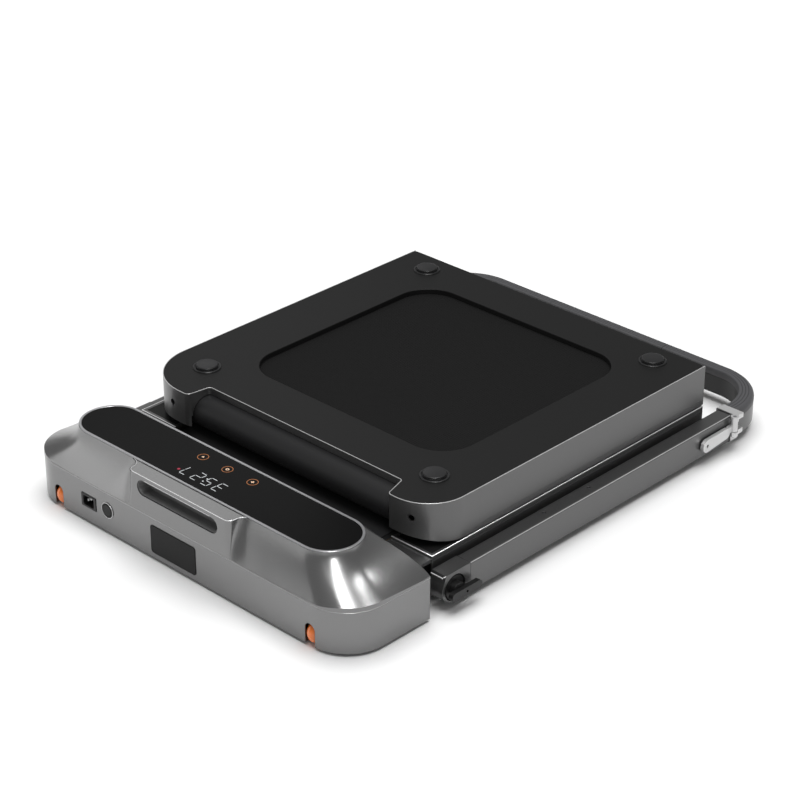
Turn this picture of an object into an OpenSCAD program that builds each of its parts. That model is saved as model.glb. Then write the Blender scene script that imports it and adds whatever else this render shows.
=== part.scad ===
// Folding walking pad: two deck sections, a head with the motor, and a handrail.
// Shown folded: the rear section lies upside down on the front section.
// X runs across, Y from the head towards the handle, Z up, all in millimetres.

/* [Head] */
// How far each side of the head stands out past its post
head_side = 0.5; // [0.2:0.1:12]
// Depth of the head, front to back
head_d = 161.7; // [150:0.1:180]
// Radius of the head's front corners in plan
head_r = 68; // [40:1:74]
// Height of the head's underside over the floor
head_bottom = 4; // [2:0.5:6]
// Height of the crease between the lower band and the hood
crease_z = 71; // [66:0.5:72]
// Height of the hood's top edge
hood_top = 131.5; // [120:0.5:140]
// Wall of the hood and of the tray
shell_wall = 3; // [2:0.5:4]
// Distance of the top panel's ends from the head's sides
panel_side = 63.8; // [58:0.1:100]
// Depth of the top panel over its rim
panel_w = 101; // [80:1:104]
// Centre of the top panel behind the head's front
panel_y = 79; // [74:1:84]
// Width of the bright rim round the glass
rim_w = 4.4; // [3:0.1:6]
// Thickness of the glass
glass_t = 3; // [2:0.5:5]
// Width of the block with the grip in the hood's front
block_w = 208; // [190:1:216]
// Sideways place of the block's middle
block_x = 6; // [-4:1:10]
// Front of the block behind the head's front
block_y = 2.7; // [2:0.1:4]
// Corner radius of the block
block_r = 10; // [6:0.5:12]
// Flare of the block's left side at the rim
flare_left = 35; // [10:1:40]
// Flare of the block's right side at the rim
flare_right = 9; // [6:1:30]
// Length of the grip pocket
grip_l = 168; // [120:1:180]
// Height of the grip pocket
grip_h = 21; // [16:1:24]
// Height of the grip pocket's middle over the floor
grip_z = 112; // [104:1:116]
// Depth of the grip pocket
grip_d = 18; // [12:1:19]

/* [Sockets] */
// Sideways place of the power inlet
inlet_x = -199; // [-210:1:-190]
// Width of the power inlet
inlet_w = 33; // [28:1:36]
// Height of the power inlet
inlet_h = 22; // [20:1:26]
// Height of the inlet's middle over the floor
inlet_z = 39.4; // [34:0.1:46]
// Sideways place of the round power switch
switch_x = -155.5; // [-165:0.5:-145]
// Height of the switch's middle over the floor
switch_z = 42.2; // [34:0.1:46]
// Radius of the round power switch over its bezel
switch_r = 12.5; // [11:0.5:14]
// Width of the rating plate
plate_w = 97; // [80:1:110]
// Height of the rating plate
plate_h = 47; // [30:1:50]
// Sideways place of the rating plate
plate_x = -10; // [-30:1:30]
// Height of the rating plate's middle over the floor
plate_z = 36.5; // [32:0.5:40]

/* [Transport wheels] */
// Radius of a transport wheel
wheel_r = 17.5; // [14:0.5:19]
// Width of a transport wheel
wheel_w = 17; // [12:1:20]
// Gap between a wheel's bracket and the frame plate beside it
wheel_gap = 0.9; // [0.5:0.1:6]
// Radius of the wheel axle
wheel_axle_r = 3; // [2:0.5:4]

/* [Deck sections] */
// Gap between the head and the foot rails
head_gap = 39.3; // [34:0.1:44]
// Length of the foot rails, from the head's side to the fold
deck_l = 618.6; // [560:0.1:640]
// Thickness of a section without its feet
deck_t = 68.1; // [66:0.1:72]
// Height of a rubber foot
foot_h = 6; // [5:0.5:8]
// Gap between the two folded sections
fold_gap = 2.8; // [2:0.1:5]
// Width of a side rail
rail_w = 22; // [18:1:26]
// Wall of a side rail
rail_wall = 3; // [2:0.5:5]
// Width of a foot rail
foot_rail_w = 79.4; // [74:0.1:90]
// Thickness of the foot rail
foot_rail_t = 8; // [6:0.5:10]
// Width of the edge left around the foot pad
lip_w = 6; // [4:0.5:9]
// Depth of the foot pad's seat
pad_t = 1.2; // [0.8:0.1:2]
// Thickness of the deck board
board_t = 18; // [12:1:20]
// Thickness of the underside cover
cover_t = 2.5; // [2:0.5:4]
// Width of the metal edge that shows round the cover
edge_w = 1.2; // [0.8:0.1:2]
// Drop of that edge below the cover's face
edge_drop = 0.7; // [0.3:0.1:1.2]
// Width of the underside left of its opening
opening_left = 104.9; // [98:0.1:120]
// Width of the underside right of its opening
opening_right = 90.9; // [88:0.1:120]
// Length of the underside between the notch and its opening
opening_near = 84.5; // [70:0.1:120]
// Length of the underside between its opening and the fold
opening_far = 81.1; // [70:0.1:120]
// Corner radius of the opening
opening_r = 60; // [40:1:80]
// Depth of the opening down to the mesh
opening_d = 9; // [6:0.5:11]
// Thickness of the mesh panel
mesh_t = 2; // [1:0.5:3]
// Radius of a foot's flange
foot_r = 18.5; // [15:0.5:22]
// Distance of the feet from the deck's sides
foot_side = 69.4; // [60:0.1:70]
// Distance of the near feet from the front of the foot rails
foot_near = 78; // [72:1:90]
// Distance of the far feet from the fold
foot_far = 44.6; // [35:0.1:60]

/* [Belt] */
// Width of the running belt
belt_w = 440; // [400:1:500]
// Gap between the belt and a foot rail
belt_gap = 12; // [9:0.5:16]
// Thickness of the running belt
belt_t = 2; // [1.5:0.1:2.5]
// Depth of the belt's surface below the foot rails
belt_drop = 3.3; // [3.2:0.1:3.6]
// Radius of both belt rollers
roller_r = 24; // [20:0.5:24]
// Radius of the roller axles
axle_r = 8; // [6:0.5:9]
// Distance of the drive roller from the head's rear
drive_in = 31.7; // [30:0.1:34]
// Distance of the tail roller from the front of the end caps
tail_in = 36; // [35:0.5:39]

/* [Drive] */
// Radius of the motor
motor_r = 36; // [30:1:37]
// Length of the motor
motor_l = 150; // [120:1:150]
// Place of the motor behind the head's front
motor_y = 55; // [52:1:56]
// Radius of the motor pulley
motor_pulley_r = 12; // [10:0.5:14]
// Radius of the drive roller's pulley
roller_pulley_r = 25; // [22:0.5:26]
// Width of both pulleys
pulley_w = 16; // [12:1:18]
// Thickness of the ribbed drive belt
drive_belt_t = 2; // [1.5:0.1:2.5]

/* [Tail] */
// Gap between the head and the end caps
tail_gap = 35.3; // [28:0.1:39]
// Depth of the notch between the end caps
notch_d = 41; // [28:0.5:45]
// Width of the left end cap at its tip
cap_w_left = 117.4; // [92:0.1:121]
// Width of the right end cap at its tip
cap_w_right = 85.4; // [82:0.1:87]
// How far the notch narrows towards its back
notch_slant = 8; // [0:1:10]
// Corner radius of the left end cap
tail_r_left = 95; // [60:1:98]
// Corner radius of the right end cap
tail_r_right = 68; // [50:1:90]
// Length of the end caps
cap_l = 103; // [98:1:110]
// Radius of the sweep under an end cap's tip
sweep_r = 300; // [260:5:400]
// Radius of the bolt hole in an end cap
cap_hole_r = 5.2; // [2:0.1:6]
// Distance of the left end cap's bolt from the deck's side
bolt_left_in = 79.4; // [62:0.1:81]
// Distance of the right end cap's bolt from the deck's side
bolt_right_in = 42.4; // [37:0.1:45]
// Height of both bolts when the pad is unfolded
bolt_z = 32; // [31:0.5:34]

/* [Fold hinge] */
// Radius of the hinge knuckles
knuckle_r = 6; // [5:0.5:6.5]
// Radius of the hinge pin
hinge_pin_r = 3; // [2:0.5:3.5]
// Distance of the hinge from the foot rail's inner edge
hinge_in = 7; // [4:0.5:9]

/* [Handrail] */
// Gap between the deck and a post
post_gap = 6.1; // [5:0.1:8]
// Width of a post
post_w = 27.3; // [25:0.1:32]
// Height of a post
post_h = 49.3; // [46:0.1:52]
// Height of the post's underside over the floor
post_z = 9.6; // [8:0.1:11]
// Wall of a post
post_wall = 2.5; // [2:0.1:3]
// Distance of the pivot from the head's rear
pivot_in = 51.3; // [50:0.1:54]
// Length of the housing behind the pivot
housing_l = 32; // [30:1:47]
// How far the posts run past the fold
post_past = 28.9; // [24:0.1:40]
// Height of the pivot over the floor
pivot_z = 32.5; // [31:0.5:34]
// Radius of the pivot pin
pivot_r = 8; // [6:0.5:9]
// Radius of the recess for the lock knob
recess_r = 21; // [20:0.5:21]
// Depth of the recess for the lock knob
recess_d = 9; // [6:0.5:10]
// Length of the knob's wing
wing_l = 62; // [50:1:64]
// Height of the knob's wing
wing_h = 14; // [10:1:16]
// Thickness of the knob's wing
wing_t = 7.8; // [6:0.1:9]

/* [Handle] */
// Thickness of the clamp collar
collar_t = 16.5; // [12:0.5:20]
// Radius of the handle's outer corners
handle_r = 100; // [80:1:110]
// Depth of the handle's crossbar
bar_d = 21.5; // [18:0.5:26]
// Reach of the handle past the fold
handle_reach = 157.9; // [150:0.1:180]
// Height of the handle's top over the floor
handle_top = 60.5; // [59:0.5:61]
// Height of the handle's underside over the floor
handle_bottom = 16; // [14:0.5:18]
// Depth of the rubber grip on top of the handle
grip_t = 12.5; // [8:0.5:16]
// Length of the inner tubes inside the posts
tube_l = 448.5; // [400:0.5:550]
// Distance of the clamp pin from the post's side
pin_out = 8.7; // [8:0.1:9]
// Radius of the clamp pin's eye
eye_r = 6.5; // [5:0.5:6.5]
// Length of the clamp lever
lever_l = 77; // [60:1:90]
// Height of the clamp lever
lever_h = 22; // [16:1:24]

/* [Hidden] */
$fn = 48;
eps = 0.01;
far = 500;
switch_proud = 1.6;
run_gap = 0.05;
seat_gap = 0.1;
fold_in = 1.9;
foot_rail_in = belt_w / 2 + belt_gap;
half_w = foot_rail_in + foot_rail_w;
post_in = half_w + post_gap;
post_out = post_in + post_w;
half_head = post_out + head_side;
deck_front = head_d + head_gap;
deck_rear = deck_front + deck_l;
tail_front = head_d + tail_gap;
notch_back = tail_front + notch_d;
handle_rear = deck_rear + handle_reach;
total_h = 2 * (foot_h + deck_t) + fold_gap;
fold_z = total_h / 2;
fold_y = deck_rear + fold_in;
deck_top = foot_h + deck_t;
edge_z = foot_h + edge_drop;
cover_top = foot_h + cover_t;
rail_in = half_w - rail_w;
opening_w = 2 * half_w - opening_left - opening_right;
opening_x = (opening_left - opening_right) / 2;
opening_l = deck_rear - opening_far - notch_back - opening_near;
opening_y = notch_back + opening_near + opening_l / 2;
foot_x = half_w - foot_side;
foot_y_near = deck_front + foot_near;
foot_y_far = deck_rear - foot_far;
drive_y = head_d - drive_in;
tail_y = tail_front + tail_in;
foot_rail_z = deck_top - foot_rail_t;
belt_top = deck_top - belt_drop;
wrap_r = roller_r + belt_t;
roller_z = belt_top - wrap_r;
board_top = belt_top - belt_t - 0.1;
board_lap = 8;
board_gap = 4;
board_half = belt_w / 2 + board_lap;
board_end = deck_rear - board_lap;
board_z = board_top - board_t;
member_h = 22;
member_d = 20;
cap_rear = tail_front + cap_l;
last_member = deck_rear - 35.6;
front_member = deck_front + 45;
rear_member = cap_rear + 20;
front_member_ys = [front_member, (front_member + last_member) / 2, last_member];
rear_member_ys = [rear_member, (rear_member + last_member) / 2, last_member];
plate_t = 6;
plate_in = rail_in - plate_t;
plate_top = 60;
plate_front = 30;
plate_rear = front_member - member_d / 2;
plate_x_tail = rail_in - 35.4;
base_w = 14;
base_front = 60;
base_l = 90;
tray_floor = head_bottom + shell_wall;
ledge_t = 7;
panel_r = panel_w / 2;
panel_s = half_head - panel_side - panel_r;
rim_top = hood_top + 1.5;
glass_r = panel_r - rim_w;
glass_seat = hood_top - 2;
window_r = glass_r - 6;
lid_t = 5;
motor_z = tray_floor + 9 + motor_r;
motor_gap = 12;
shaft_l = 30;
shaft_r = 5;
pulley_x = belt_w / 2 + 7;
motor_x = pulley_x - motor_gap - motor_l;
cradle_in = 20;
cradle_half = 28;
control_x = -80;
control_y = 75;
control_l = 140;
control_w = 60;
control_t = 1.6;
control_h = 6;
display_l = 180;
display_w = 70;
key_r = 9;
wheel_z = wheel_r + 2.5;
wheel_y = wheel_r - 1.4;
wheel_crown = 4;
well_half = wheel_w / 2 + 1;
cheek_t = 2;
wheel_x = plate_in - wheel_gap - cheek_t - well_half;
notch_left = half_w - cap_w_left;
notch_right = half_w - cap_w_right;
bolt_left = half_w - bolt_left_in;
bolt_right = half_w - bolt_right_in;
notch_fillet = 6;
notch_tip = 9;
sweep_y = tail_front + 88;
hinge_x = foot_rail_in + hinge_in;
hinge_end = rail_in - 0.4;
knuckle_gap = 0.5;
knuckles = 4;
hinge_step = (hinge_end - hinge_x) / knuckles;
knuckle_l = hinge_step - knuckle_gap;
arm_t = 6;
arm_l = 45;
post_top = post_z + post_h;
post_rear = deck_rear + post_past;
pivot_y = head_d + pivot_in;
housing_rear = pivot_y + housing_l;
post_hole_ys = [post_rear - 428.3, post_rear - 327.5];
inner_front = post_rear - tube_l;
pin_end = post_out - recess_d - 4;
collar_y = post_rear + 3;
handle_y = collar_y + collar_t + 0.4;
bar_front = handle_rear - bar_d;
pin_x = post_out + pin_out;
pin_y = collar_y - 3.5;
eye_h = 8;
upper_eye_z = handle_top - eye_h;
lower_eye_z = 26;
tube_wall = 2;
tube_gap = 0.5;
tube_in = post_in + post_wall + tube_gap;
tube_out = post_out - post_wall - tube_gap;
tube_top = post_top - post_wall - tube_gap;
tube_bottom = handle_bottom + 3;

metal_grey = [0.42, 0.42, 0.43];
dark_grey = [0.28, 0.28, 0.29];
cover_black = [0.2, 0.2, 0.21];
belt_black = [0.1, 0.1, 0.1];
silver = [0.8, 0.8, 0.8];
rubber = [0.13, 0.13, 0.13];
steel = [0.6, 0.6, 0.62];
orange = [0.92, 0.45, 0.15];
board_green = [0.1, 0.3, 0.18];
wood = [0.6, 0.5, 0.35];

// Moves the head's front from y = 0 so that the part's middle lies on the origin
module placed() {
    translate([0, (switch_proud - handle_rear) / 2, 0]) children();
}

// A box between two corners
module block(low, high) {
    translate(low) cube(high - low);
}

// A round bar along X
module bar_x(r, x0, x1, y, z) {
    translate([x0, y, z]) rotate([0, 90, 0]) cylinder(r = r, h = x1 - x0);
}

// A round bar along Y
module bar_y(r, y0, y1, x, z) {
    translate([x, y0, z]) rotate([-90, 0, 0]) cylinder(r = r, h = y1 - y0);
}

// A copy on each side of the middle
module both_sides() {
    children();
    mirror([1, 0, 0]) children();
}

// The right-hand shape, mirrored for the left side
module on_side(side) {
    if (side > 0) children();
    else mirror([1, 0, 0]) children();
}

// A front-section shape turned over the fold
module folded_over() {
    translate([0, 0, total_h]) mirror([0, 0, 1]) children();
}

// A profile in Y and Z, drawn from x0 to x1
module along_x(x0, x1) {
    translate([x0, 0, 0]) rotate([90, 0, 90]) linear_extrude(x1 - x0) children();
}

// Points of an arc
function arc(c, r, a0, a1, n = 12) =
    [for (i = [0:n]) c + r * [cos(a0 + (a1 - a0) * i / n), sin(a0 + (a1 - a0) * i / n)]];

// A slot outline with round ends, s to each side of the middle
module stadium(s, r) {
    for (x = [-s, s]) translate([x, 0]) circle(r, $fn = 96);
    translate([-s, -r]) square([2 * s, 2 * r]);
}

// A rectangle with round corners, about its middle
module round_rect(w, h, r) {
    square([w - 2 * r, h], center = true);
    square([w, h - 2 * r], center = true);
    for (x = [-1, 1], y = [-1, 1])
        translate([x * (w / 2 - r), y * (h / 2 - r)]) circle(r, $fn = 64);
}

// Outline of a deck section's cover, with a radius for each front corner
function outline(y0, y1, r_left, r_right, e = 0) = concat(
    arc([-half_w + r_left, y0 + r_left], r_left - e, 180, 270, 16),
    arc([half_w - r_right, y0 + r_right], r_right - e, 270, 360, 16),
    arc([half_w - 8, y1 - 8], 8 - e, 0, 90, 6),
    arc([-half_w + 8, y1 - 8], 8 - e, 90, 180, 6));

// Outline of the folding section
function tail_outline(e) = outline(tail_front, deck_rear, tail_r_left, tail_r_right, e);

// Outline of the fixed section
function front_outline(e) = outline(deck_front, deck_rear, 8, 8, e);

// The notch between the end caps where the belt turns
function notch(e) = concat(
    [[-notch_left - notch_tip, tail_front - 40], [notch_right + notch_tip, tail_front - 40]],
    arc([notch_right + notch_tip, tail_front + notch_tip], notch_tip - e, 270, 180, 6),
    arc([notch_right - notch_slant + e - notch_fillet, notch_back + e - notch_fillet],
        notch_fillet, 0, 90, 6),
    arc([-notch_left + notch_slant / 2 - e + notch_fillet, notch_back + e - notch_fillet],
        notch_fillet, 90, 180, 6),
    arc([-notch_left - notch_tip, tail_front + notch_tip], notch_tip - e, 0, -90, 6));

// One point of a cubic curve
function cubic(p1, p2, t) =
    3 * t * (1 - t) * (1 - t) * p1 + 3 * t * t * (1 - t) * p2 + t * t * t;

// A value between a and b
function mix(a, b, t) = a + (b - a) * t;

// Hood stations: [foot x, foot y, top x, top y, corner share, rear share], e is the wall left off
function hood_front(e) =
    let (y_top = panel_y - panel_r + e, y_block = block_y + e,
         x0 = block_x - block_w / 2 + e, x1 = block_x + block_w / 2 - e,
         left_rim = [for (i = [0:6]) mix(-panel_s, x0 - flare_left, i / 6)],
         right_rim = [for (i = [0:6]) mix(x1 + flare_right, panel_s, i / 6)],
         low = half_head - head_r)
    concat(
        [for (i = [0:5]) [mix(-low, x0 - flare_left, i / 6), e, left_rim[i], y_top,
                          0.4 * pow(1 - i / 6, 2), 0]],
        [for (a = [0:15:90]) let (x = x0 - flare_left * (1 - sin(a)))
            [x, e, x, y_block + block_r + (y_top - y_block - block_r) * cos(a), 0, 0]],
        [for (a = [18:18:90]) let (x = x0 + block_r * (1 - cos(a)))
            [x, e, x, y_block + block_r * (1 - sin(a)), 0, 0]],
        [for (i = [1:5]) let (x = mix(x0 + block_r, x1 - block_r, i / 6)) [x, e, x, y_block, 0, 0]],
        [for (a = [0:18:72]) let (x = x1 - block_r * (1 - sin(a)))
            [x, e, x, y_block + block_r * (1 - cos(a)), 0, 0]],
        [for (a = [0:15:90]) let (x = x1 + flare_right * (1 - cos(a)))
            [x, e, x, y_block + block_r + (y_top - y_block - block_r) * sin(a), 0, 0]],
        [for (i = [1:6]) [mix(x1 + flare_right, low, i / 6), e, right_rim[i], y_top,
                          0.4 * pow(i / 6, 2), 0]]);

// The right end of the hood, from the front corner to the rear edge
function hood_end(e) =
    let (c = [half_head - head_r, head_r], r = head_r - e, q = panel_r - e, rear = head_d - e)
    concat(
        [for (a = [-81:9:0])
            [c[0] + r * cos(a), c[1] + r * sin(a), panel_s + q * cos(a), panel_y + q * sin(a),
             min(1, 0.4 + 0.6 * (a + 90) / 36), 0]],
        [for (i = [1:6]) let (a = 10 * i)
            [half_head - e, mix(head_r, rear, i / 6), panel_s + q * cos(a), panel_y + q * sin(a),
             mix(1, 0.75, i / 6), 0.85 * i / 6]],
        [for (i = [1:4]) let (a = 60 + 7.5 * i)
            [mix(half_head - e, panel_s, i / 4), rear, panel_s + q * cos(a), panel_y + q * sin(a),
             mix(0.75, 0, i / 4), mix(0.85, 1, i / 4)]]);

// All stations round the hood, and the same with the left end mirrored
function hood_stations(e) =
    let (end = hood_end(e), n = len(end), rear = head_d - e, top = panel_y + panel_r - e)
    concat(
        hood_front(e), end,
        [for (i = [1:5]) let (x = mix(panel_s, -panel_s, i / 6)) [x, rear, x, top, 0, 1]],
        [for (i = [n - 1:-1:0]) let (s = end[i]) [-s[0], s[1], -s[2], s[3], s[4], s[5]]]);

// Height and place of one hood point, t runs from the rim to the foot
function hood_point(s, t, foot, top) =
    let (p1 = [mix(mix(0.3, 0.08, s[4]), 0.3, s[5]), mix(0.42, 0.15, s[5])],
         p2 = [mix(mix(0.62, 0.5, s[4]), 0.9, s[5]), mix(mix(0.72, 0.68, s[4]), 0.6, s[5])],
         out = cubic(p1[0], p2[0], t), drop = cubic(p1[1], p2[1], t),
         wall = max(0.5, 0.13 * s[4] * (1 - 0.7 * s[5]) * (top - foot)))
    [mix(s[2], s[0], out), mix(s[3], s[1], out), mix(top, foot + wall, drop)];

// The point of a stadium ring of radius r that belongs to a station, at height z
function ring_point(s, r, z) =
    let (side = sign(s[2]) * panel_s, out = [s[2] - side, s[3] - panel_y])
    abs(s[2]) > panel_s + eps
        ? concat([side, panel_y] + r * out / norm(out), [z])
        : [s[2], panel_y + (s[3] < panel_y ? -r : r), z];

// One closed skin over the hood's outside, foot, inside and glass seat
module hood_skin() {
    outer = hood_stations(0);
    inner = hood_stations(shell_wall);
    n = len(outer);
    steps = [0, 0.12, 0.26, 0.4, 0.54, 0.68, 0.82, 0.92, 1];
    inner_top = hood_top - lid_t;
    points = concat(
        [for (t = steps) for (s = outer) hood_point(s, t, crease_z, hood_top)],
        [for (s = outer) [s[0], s[1], crease_z]],
        [for (s = inner) [s[0], s[1], crease_z]],
        [for (t = [1, 0.85, 0.7, 0.55, 0.4, 0.2, 0]) for (s = inner) hood_point(s, t, crease_z, inner_top)],
        [for (s = outer) ring_point(s, window_r, inner_top)],
        [for (s = outer) ring_point(s, window_r, glass_seat)],
        [for (s = outer) ring_point(s, glass_r + seat_gap, glass_seat)],
        [for (s = outer) ring_point(s, glass_r + seat_gap, hood_top)]);
    rings = len(points) / n;
    polyhedron(points, [for (k = [0:rings - 1]) for (i = [0:n - 1]) for (h = [0, 1])
        let (a = k * n + i, b = k * n + (i + 1) % n,
             c = ((k + 1) % rings) * n + (i + 1) % n, d = ((k + 1) % rings) * n + i)
        h == 0 ? [a, b, c] : [a, c, d]], convexity = 8);
}

// The head's plan, e is the wall left off
module head_plan(e) {
    polygon([for (s = hood_stations(e)) [s[0], s[1]]]);
}

// The long pocket's outline, set upright in the hood's front
module grip_outline(grow) {
    translate([0, grip_z]) stadium((grip_l - grip_h) / 2, grip_h / 2 + grow);
}

// A shape drawn in X and Z, from y0 to y1
module along_y(y0, y1) {
    translate([0, y1, 0]) rotate([90, 0, 0]) linear_extrude(y1 - y0) children();
}

module hood() {
    color(metal_grey) placed() difference() {
        hood_skin();
        along_y(-20, block_y + grip_d + 4) grip_outline(2 + run_gap);
    }
}

// The slot with an arched top that a wheel stands in
module wheel_arch() {
    translate([wheel_x, wheel_z + wheel_r + 1 - well_half]) {
        circle(well_half);
        translate([-well_half, -far]) square([2 * well_half, far]);
    }
}

module head_tray() {
    color(metal_grey) placed() both_sides()
        block([foot_rail_in, head_d - shell_wall, crease_z - ledge_t],
              [half_w, deck_front - 0.3, crease_z]);
    color(metal_grey) placed() difference() {
        translate([0, 0, head_bottom]) linear_extrude(crease_z - head_bottom) head_plan(0);
        translate([0, 0, tray_floor]) linear_extrude(far) head_plan(shell_wall);
        both_sides() {
            block([wheel_x - well_half, -eps, 0], [wheel_x + well_half, 2 * wheel_r + 2, tray_floor + 1]);
            along_y(-1, shell_wall + 2) wheel_arch();
        }
        block([inlet_x - inlet_w / 2 + 2, -far, inlet_z - inlet_h / 2 + 2],
              [inlet_x + inlet_w / 2 - 2, 10, inlet_z + inlet_h / 2 - 2]);
        bar_y(switch_r - 1, -far, 10, switch_x, switch_z);
        block([-rail_in - 3, head_d - shell_wall - 1, tray_floor + 1], [rail_in + 3, far, far]);
    }
}

module panel_rim() {
    color(silver) placed() translate([0, panel_y, hood_top]) linear_extrude(rim_top - hood_top)
        difference() {
            stadium(panel_s, panel_r - 0.3);
            stadium(panel_s, glass_r + seat_gap);
        }
}

module panel_glass() {
    color(belt_black) placed() translate([0, panel_y, glass_seat]) linear_extrude(glass_t)
        stadium(panel_s, glass_r);
}

module display_board() {
    color(board_green) placed() {
        block([-52, panel_y - 35, glass_seat - control_h], [58, panel_y - 19, glass_seat]);
        block([-display_l / 2, panel_y - display_w / 2 - 2, glass_seat - control_h - control_t],
              [display_l / 2, panel_y + display_w / 2 - 2, glass_seat - control_h]);
        for (x = [-51.6, 2.7, 52.9]) translate([x, panel_y + 20.3, glass_seat - control_h])
            cylinder(r = key_r, h = control_h);
    }
}

module grip_pocket() {
    color(rubber) placed() difference() {
        along_y(block_y + 0.8, block_y + grip_d + 2) grip_outline(2);
        along_y(-far, block_y + grip_d) grip_outline(0);
    }
}

module power_inlet() {
    color(rubber) placed() difference() {
        union() {
            block([inlet_x - inlet_w / 2, -1.2, inlet_z - inlet_h / 2],
                  [inlet_x + inlet_w / 2, 0, inlet_z + inlet_h / 2]);
            block([inlet_x - inlet_w / 2 + 2.1, 0, inlet_z - inlet_h / 2 + 2.1],
                  [inlet_x + inlet_w / 2 - 2.1, 26, inlet_z + inlet_h / 2 - 2.1]);
        }
        along_y(-far, 18) translate([inlet_x, inlet_z]) round_rect(inlet_w - 9, inlet_h - 6, 3);
    }
}

module inlet_pins() {
    color(steel) placed() for (p = [[-7, -1.5], [0, 2], [7, -1.5]])
        block([inlet_x + p[0] - 1, 4, inlet_z + p[1] - 2], [inlet_x + p[0] + 1, 18, inlet_z + p[1] + 2]);
}

module switch_bezel() {
    color(rubber) placed() difference() {
        union() {
            bar_y(switch_r, -1.4, 0, switch_x, switch_z);
            bar_y(switch_r - 1.1, 0, 20, switch_x, switch_z);
        }
        bar_y(switch_r - 2.1, -far, 17, switch_x, switch_z);
        bar_x(1.5 + run_gap, switch_x - switch_r + 1.4, switch_x + switch_r - 1.4, 6, switch_z);
    }
}

module power_switch() {
    color(rubber) placed() {
        bar_y(switch_r - 3.3, -switch_proud, 7, switch_x, switch_z);
        bar_x(1.5, switch_x - switch_r + 1.5, switch_x + switch_r - 1.5, 6, switch_z);
    }
}

module rating_plate() {
    color(silver) placed() along_y(-0.8, 0) translate([plate_x, plate_z])
        round_rect(plate_w, plate_h, 3);
}

module wheel() {
    difference() {
        translate([wheel_x, wheel_y, wheel_z]) rotate([0, 90, 0]) rotate_extrude($fn = 72)
            polygon(concat([[0, -wheel_w / 2]],
                           [for (k = [-1:0.25:1]) [wheel_r - wheel_crown * k * k, k * wheel_w / 2]],
                           [[0, wheel_w / 2]]));
        bar_x(wheel_axle_r + run_gap, 0, far, wheel_y, wheel_z);
        for (x = [wheel_x - wheel_w / 2 - 1, wheel_x + wheel_w / 2 - 1.5])
            bar_x(wheel_r - 7, x, x + 2.5, wheel_y, wheel_z);
    }
}

module wheel_left() {
    color(orange) placed() on_side(-1) wheel();
}

module wheel_right() {
    color(orange) placed() on_side(1) wheel();
}

module wheel_brackets() {
    top = wheel_z + wheel_r + 2;
    color(steel) placed() both_sides() {
        for (x = [wheel_x - well_half - cheek_t, wheel_x + well_half])
            block([x, 8, tray_floor], [x + cheek_t, 2 * wheel_r - 4, top]);
        block([wheel_x - well_half - cheek_t, 8, top],
              [wheel_x + well_half + cheek_t, 2 * wheel_r - 4, top + 2]);
        bar_x(wheel_axle_r, wheel_x - well_half - eps, wheel_x + well_half + eps, wheel_y, wheel_z);
    }
}

module motor() {
    color(steel) placed() difference() {
        union() {
            bar_x(motor_r, motor_x, motor_x + motor_l, motor_y, motor_z);
            bar_x(motor_r * 0.4, motor_x + motor_l, motor_x + motor_l + 4, motor_y, motor_z);
        }
        bar_x(shaft_r + run_gap, motor_x + motor_l - shaft_l, far, motor_y, motor_z);
    }
}

module motor_cradle() {
    color(steel) placed() difference() {
        block([motor_x + cradle_in, motor_y - cradle_half, tray_floor],
              [motor_x + motor_l - cradle_in, motor_y + cradle_half, motor_z - motor_r / 3]);
        bar_x(motor_r, 0, far, motor_y, motor_z);
    }
}

module motor_pulley() {
    color(steel) placed() {
        bar_x(motor_pulley_r, pulley_x, pulley_x + pulley_w, motor_y, motor_z);
        bar_x(shaft_r, motor_x + motor_l - shaft_l + 1, pulley_x + pulley_w + 3, motor_y, motor_z);
    }
}

// The drive belt's outline round both pulleys
module belt_round(grow) {
    hull() {
        translate([motor_y, motor_z]) circle(motor_pulley_r + grow);
        translate([drive_y, roller_z]) circle(roller_pulley_r + grow, $fn = 72);
    }
}

module drive_belt() {
    color(rubber) placed() along_x(pulley_x + 1, pulley_x + pulley_w - 1) difference() {
        belt_round(drive_belt_t);
        belt_round(run_gap);
    }
}

module control_board() {
    half_l = control_l / 2;
    half_d = control_w / 2;
    color(board_green) placed() translate([control_x, control_y, tray_floor]) {
        block([-half_l, -half_d, control_h], [half_l, half_d, control_h + control_t]);
        for (x = [-1, 1], y = [-1, 1]) translate([x * (half_l - 5), y * (half_d - 5), 0])
            cylinder(r = 3, h = control_h);
        translate([0, 0, control_h + control_t]) {
            block([-half_l + 20, -half_d + 10, 0], [-half_l + 55, half_d - 10, 22.4]);
            for (x = [0, 20]) translate([x, -5, 0]) cylinder(r = 8, h = 22);
            block([half_l - 35, -half_d + 10, 0], [half_l - 15, half_d - 15, 12.4]);
        }
    }
}

module drive_roller() {
    color(steel) placed() difference() {
        union() {
            bar_x(roller_r, -belt_w / 2 - 2, belt_w / 2 + 2, drive_y, roller_z);
            bar_x(roller_pulley_r, pulley_x, pulley_x + pulley_w, drive_y, roller_z);
            bar_x(axle_r + 6, belt_w / 2, pulley_x + 1, drive_y, roller_z);
        }
        bar_x(axle_r + run_gap, -far, far, drive_y, roller_z);
    }
}

module drive_axle() {
    color(steel) placed() bar_x(axle_r, -plate_in, plate_in, drive_y, roller_z);
}

module frame_plates() {
    color(steel) placed() both_sides() {
        block([plate_in, plate_front, cover_top], [rail_in, plate_rear, plate_top]);
        block([plate_in - base_w, base_front, tray_floor], [rail_in, base_front + base_l, cover_top]);
    }
}

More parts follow.
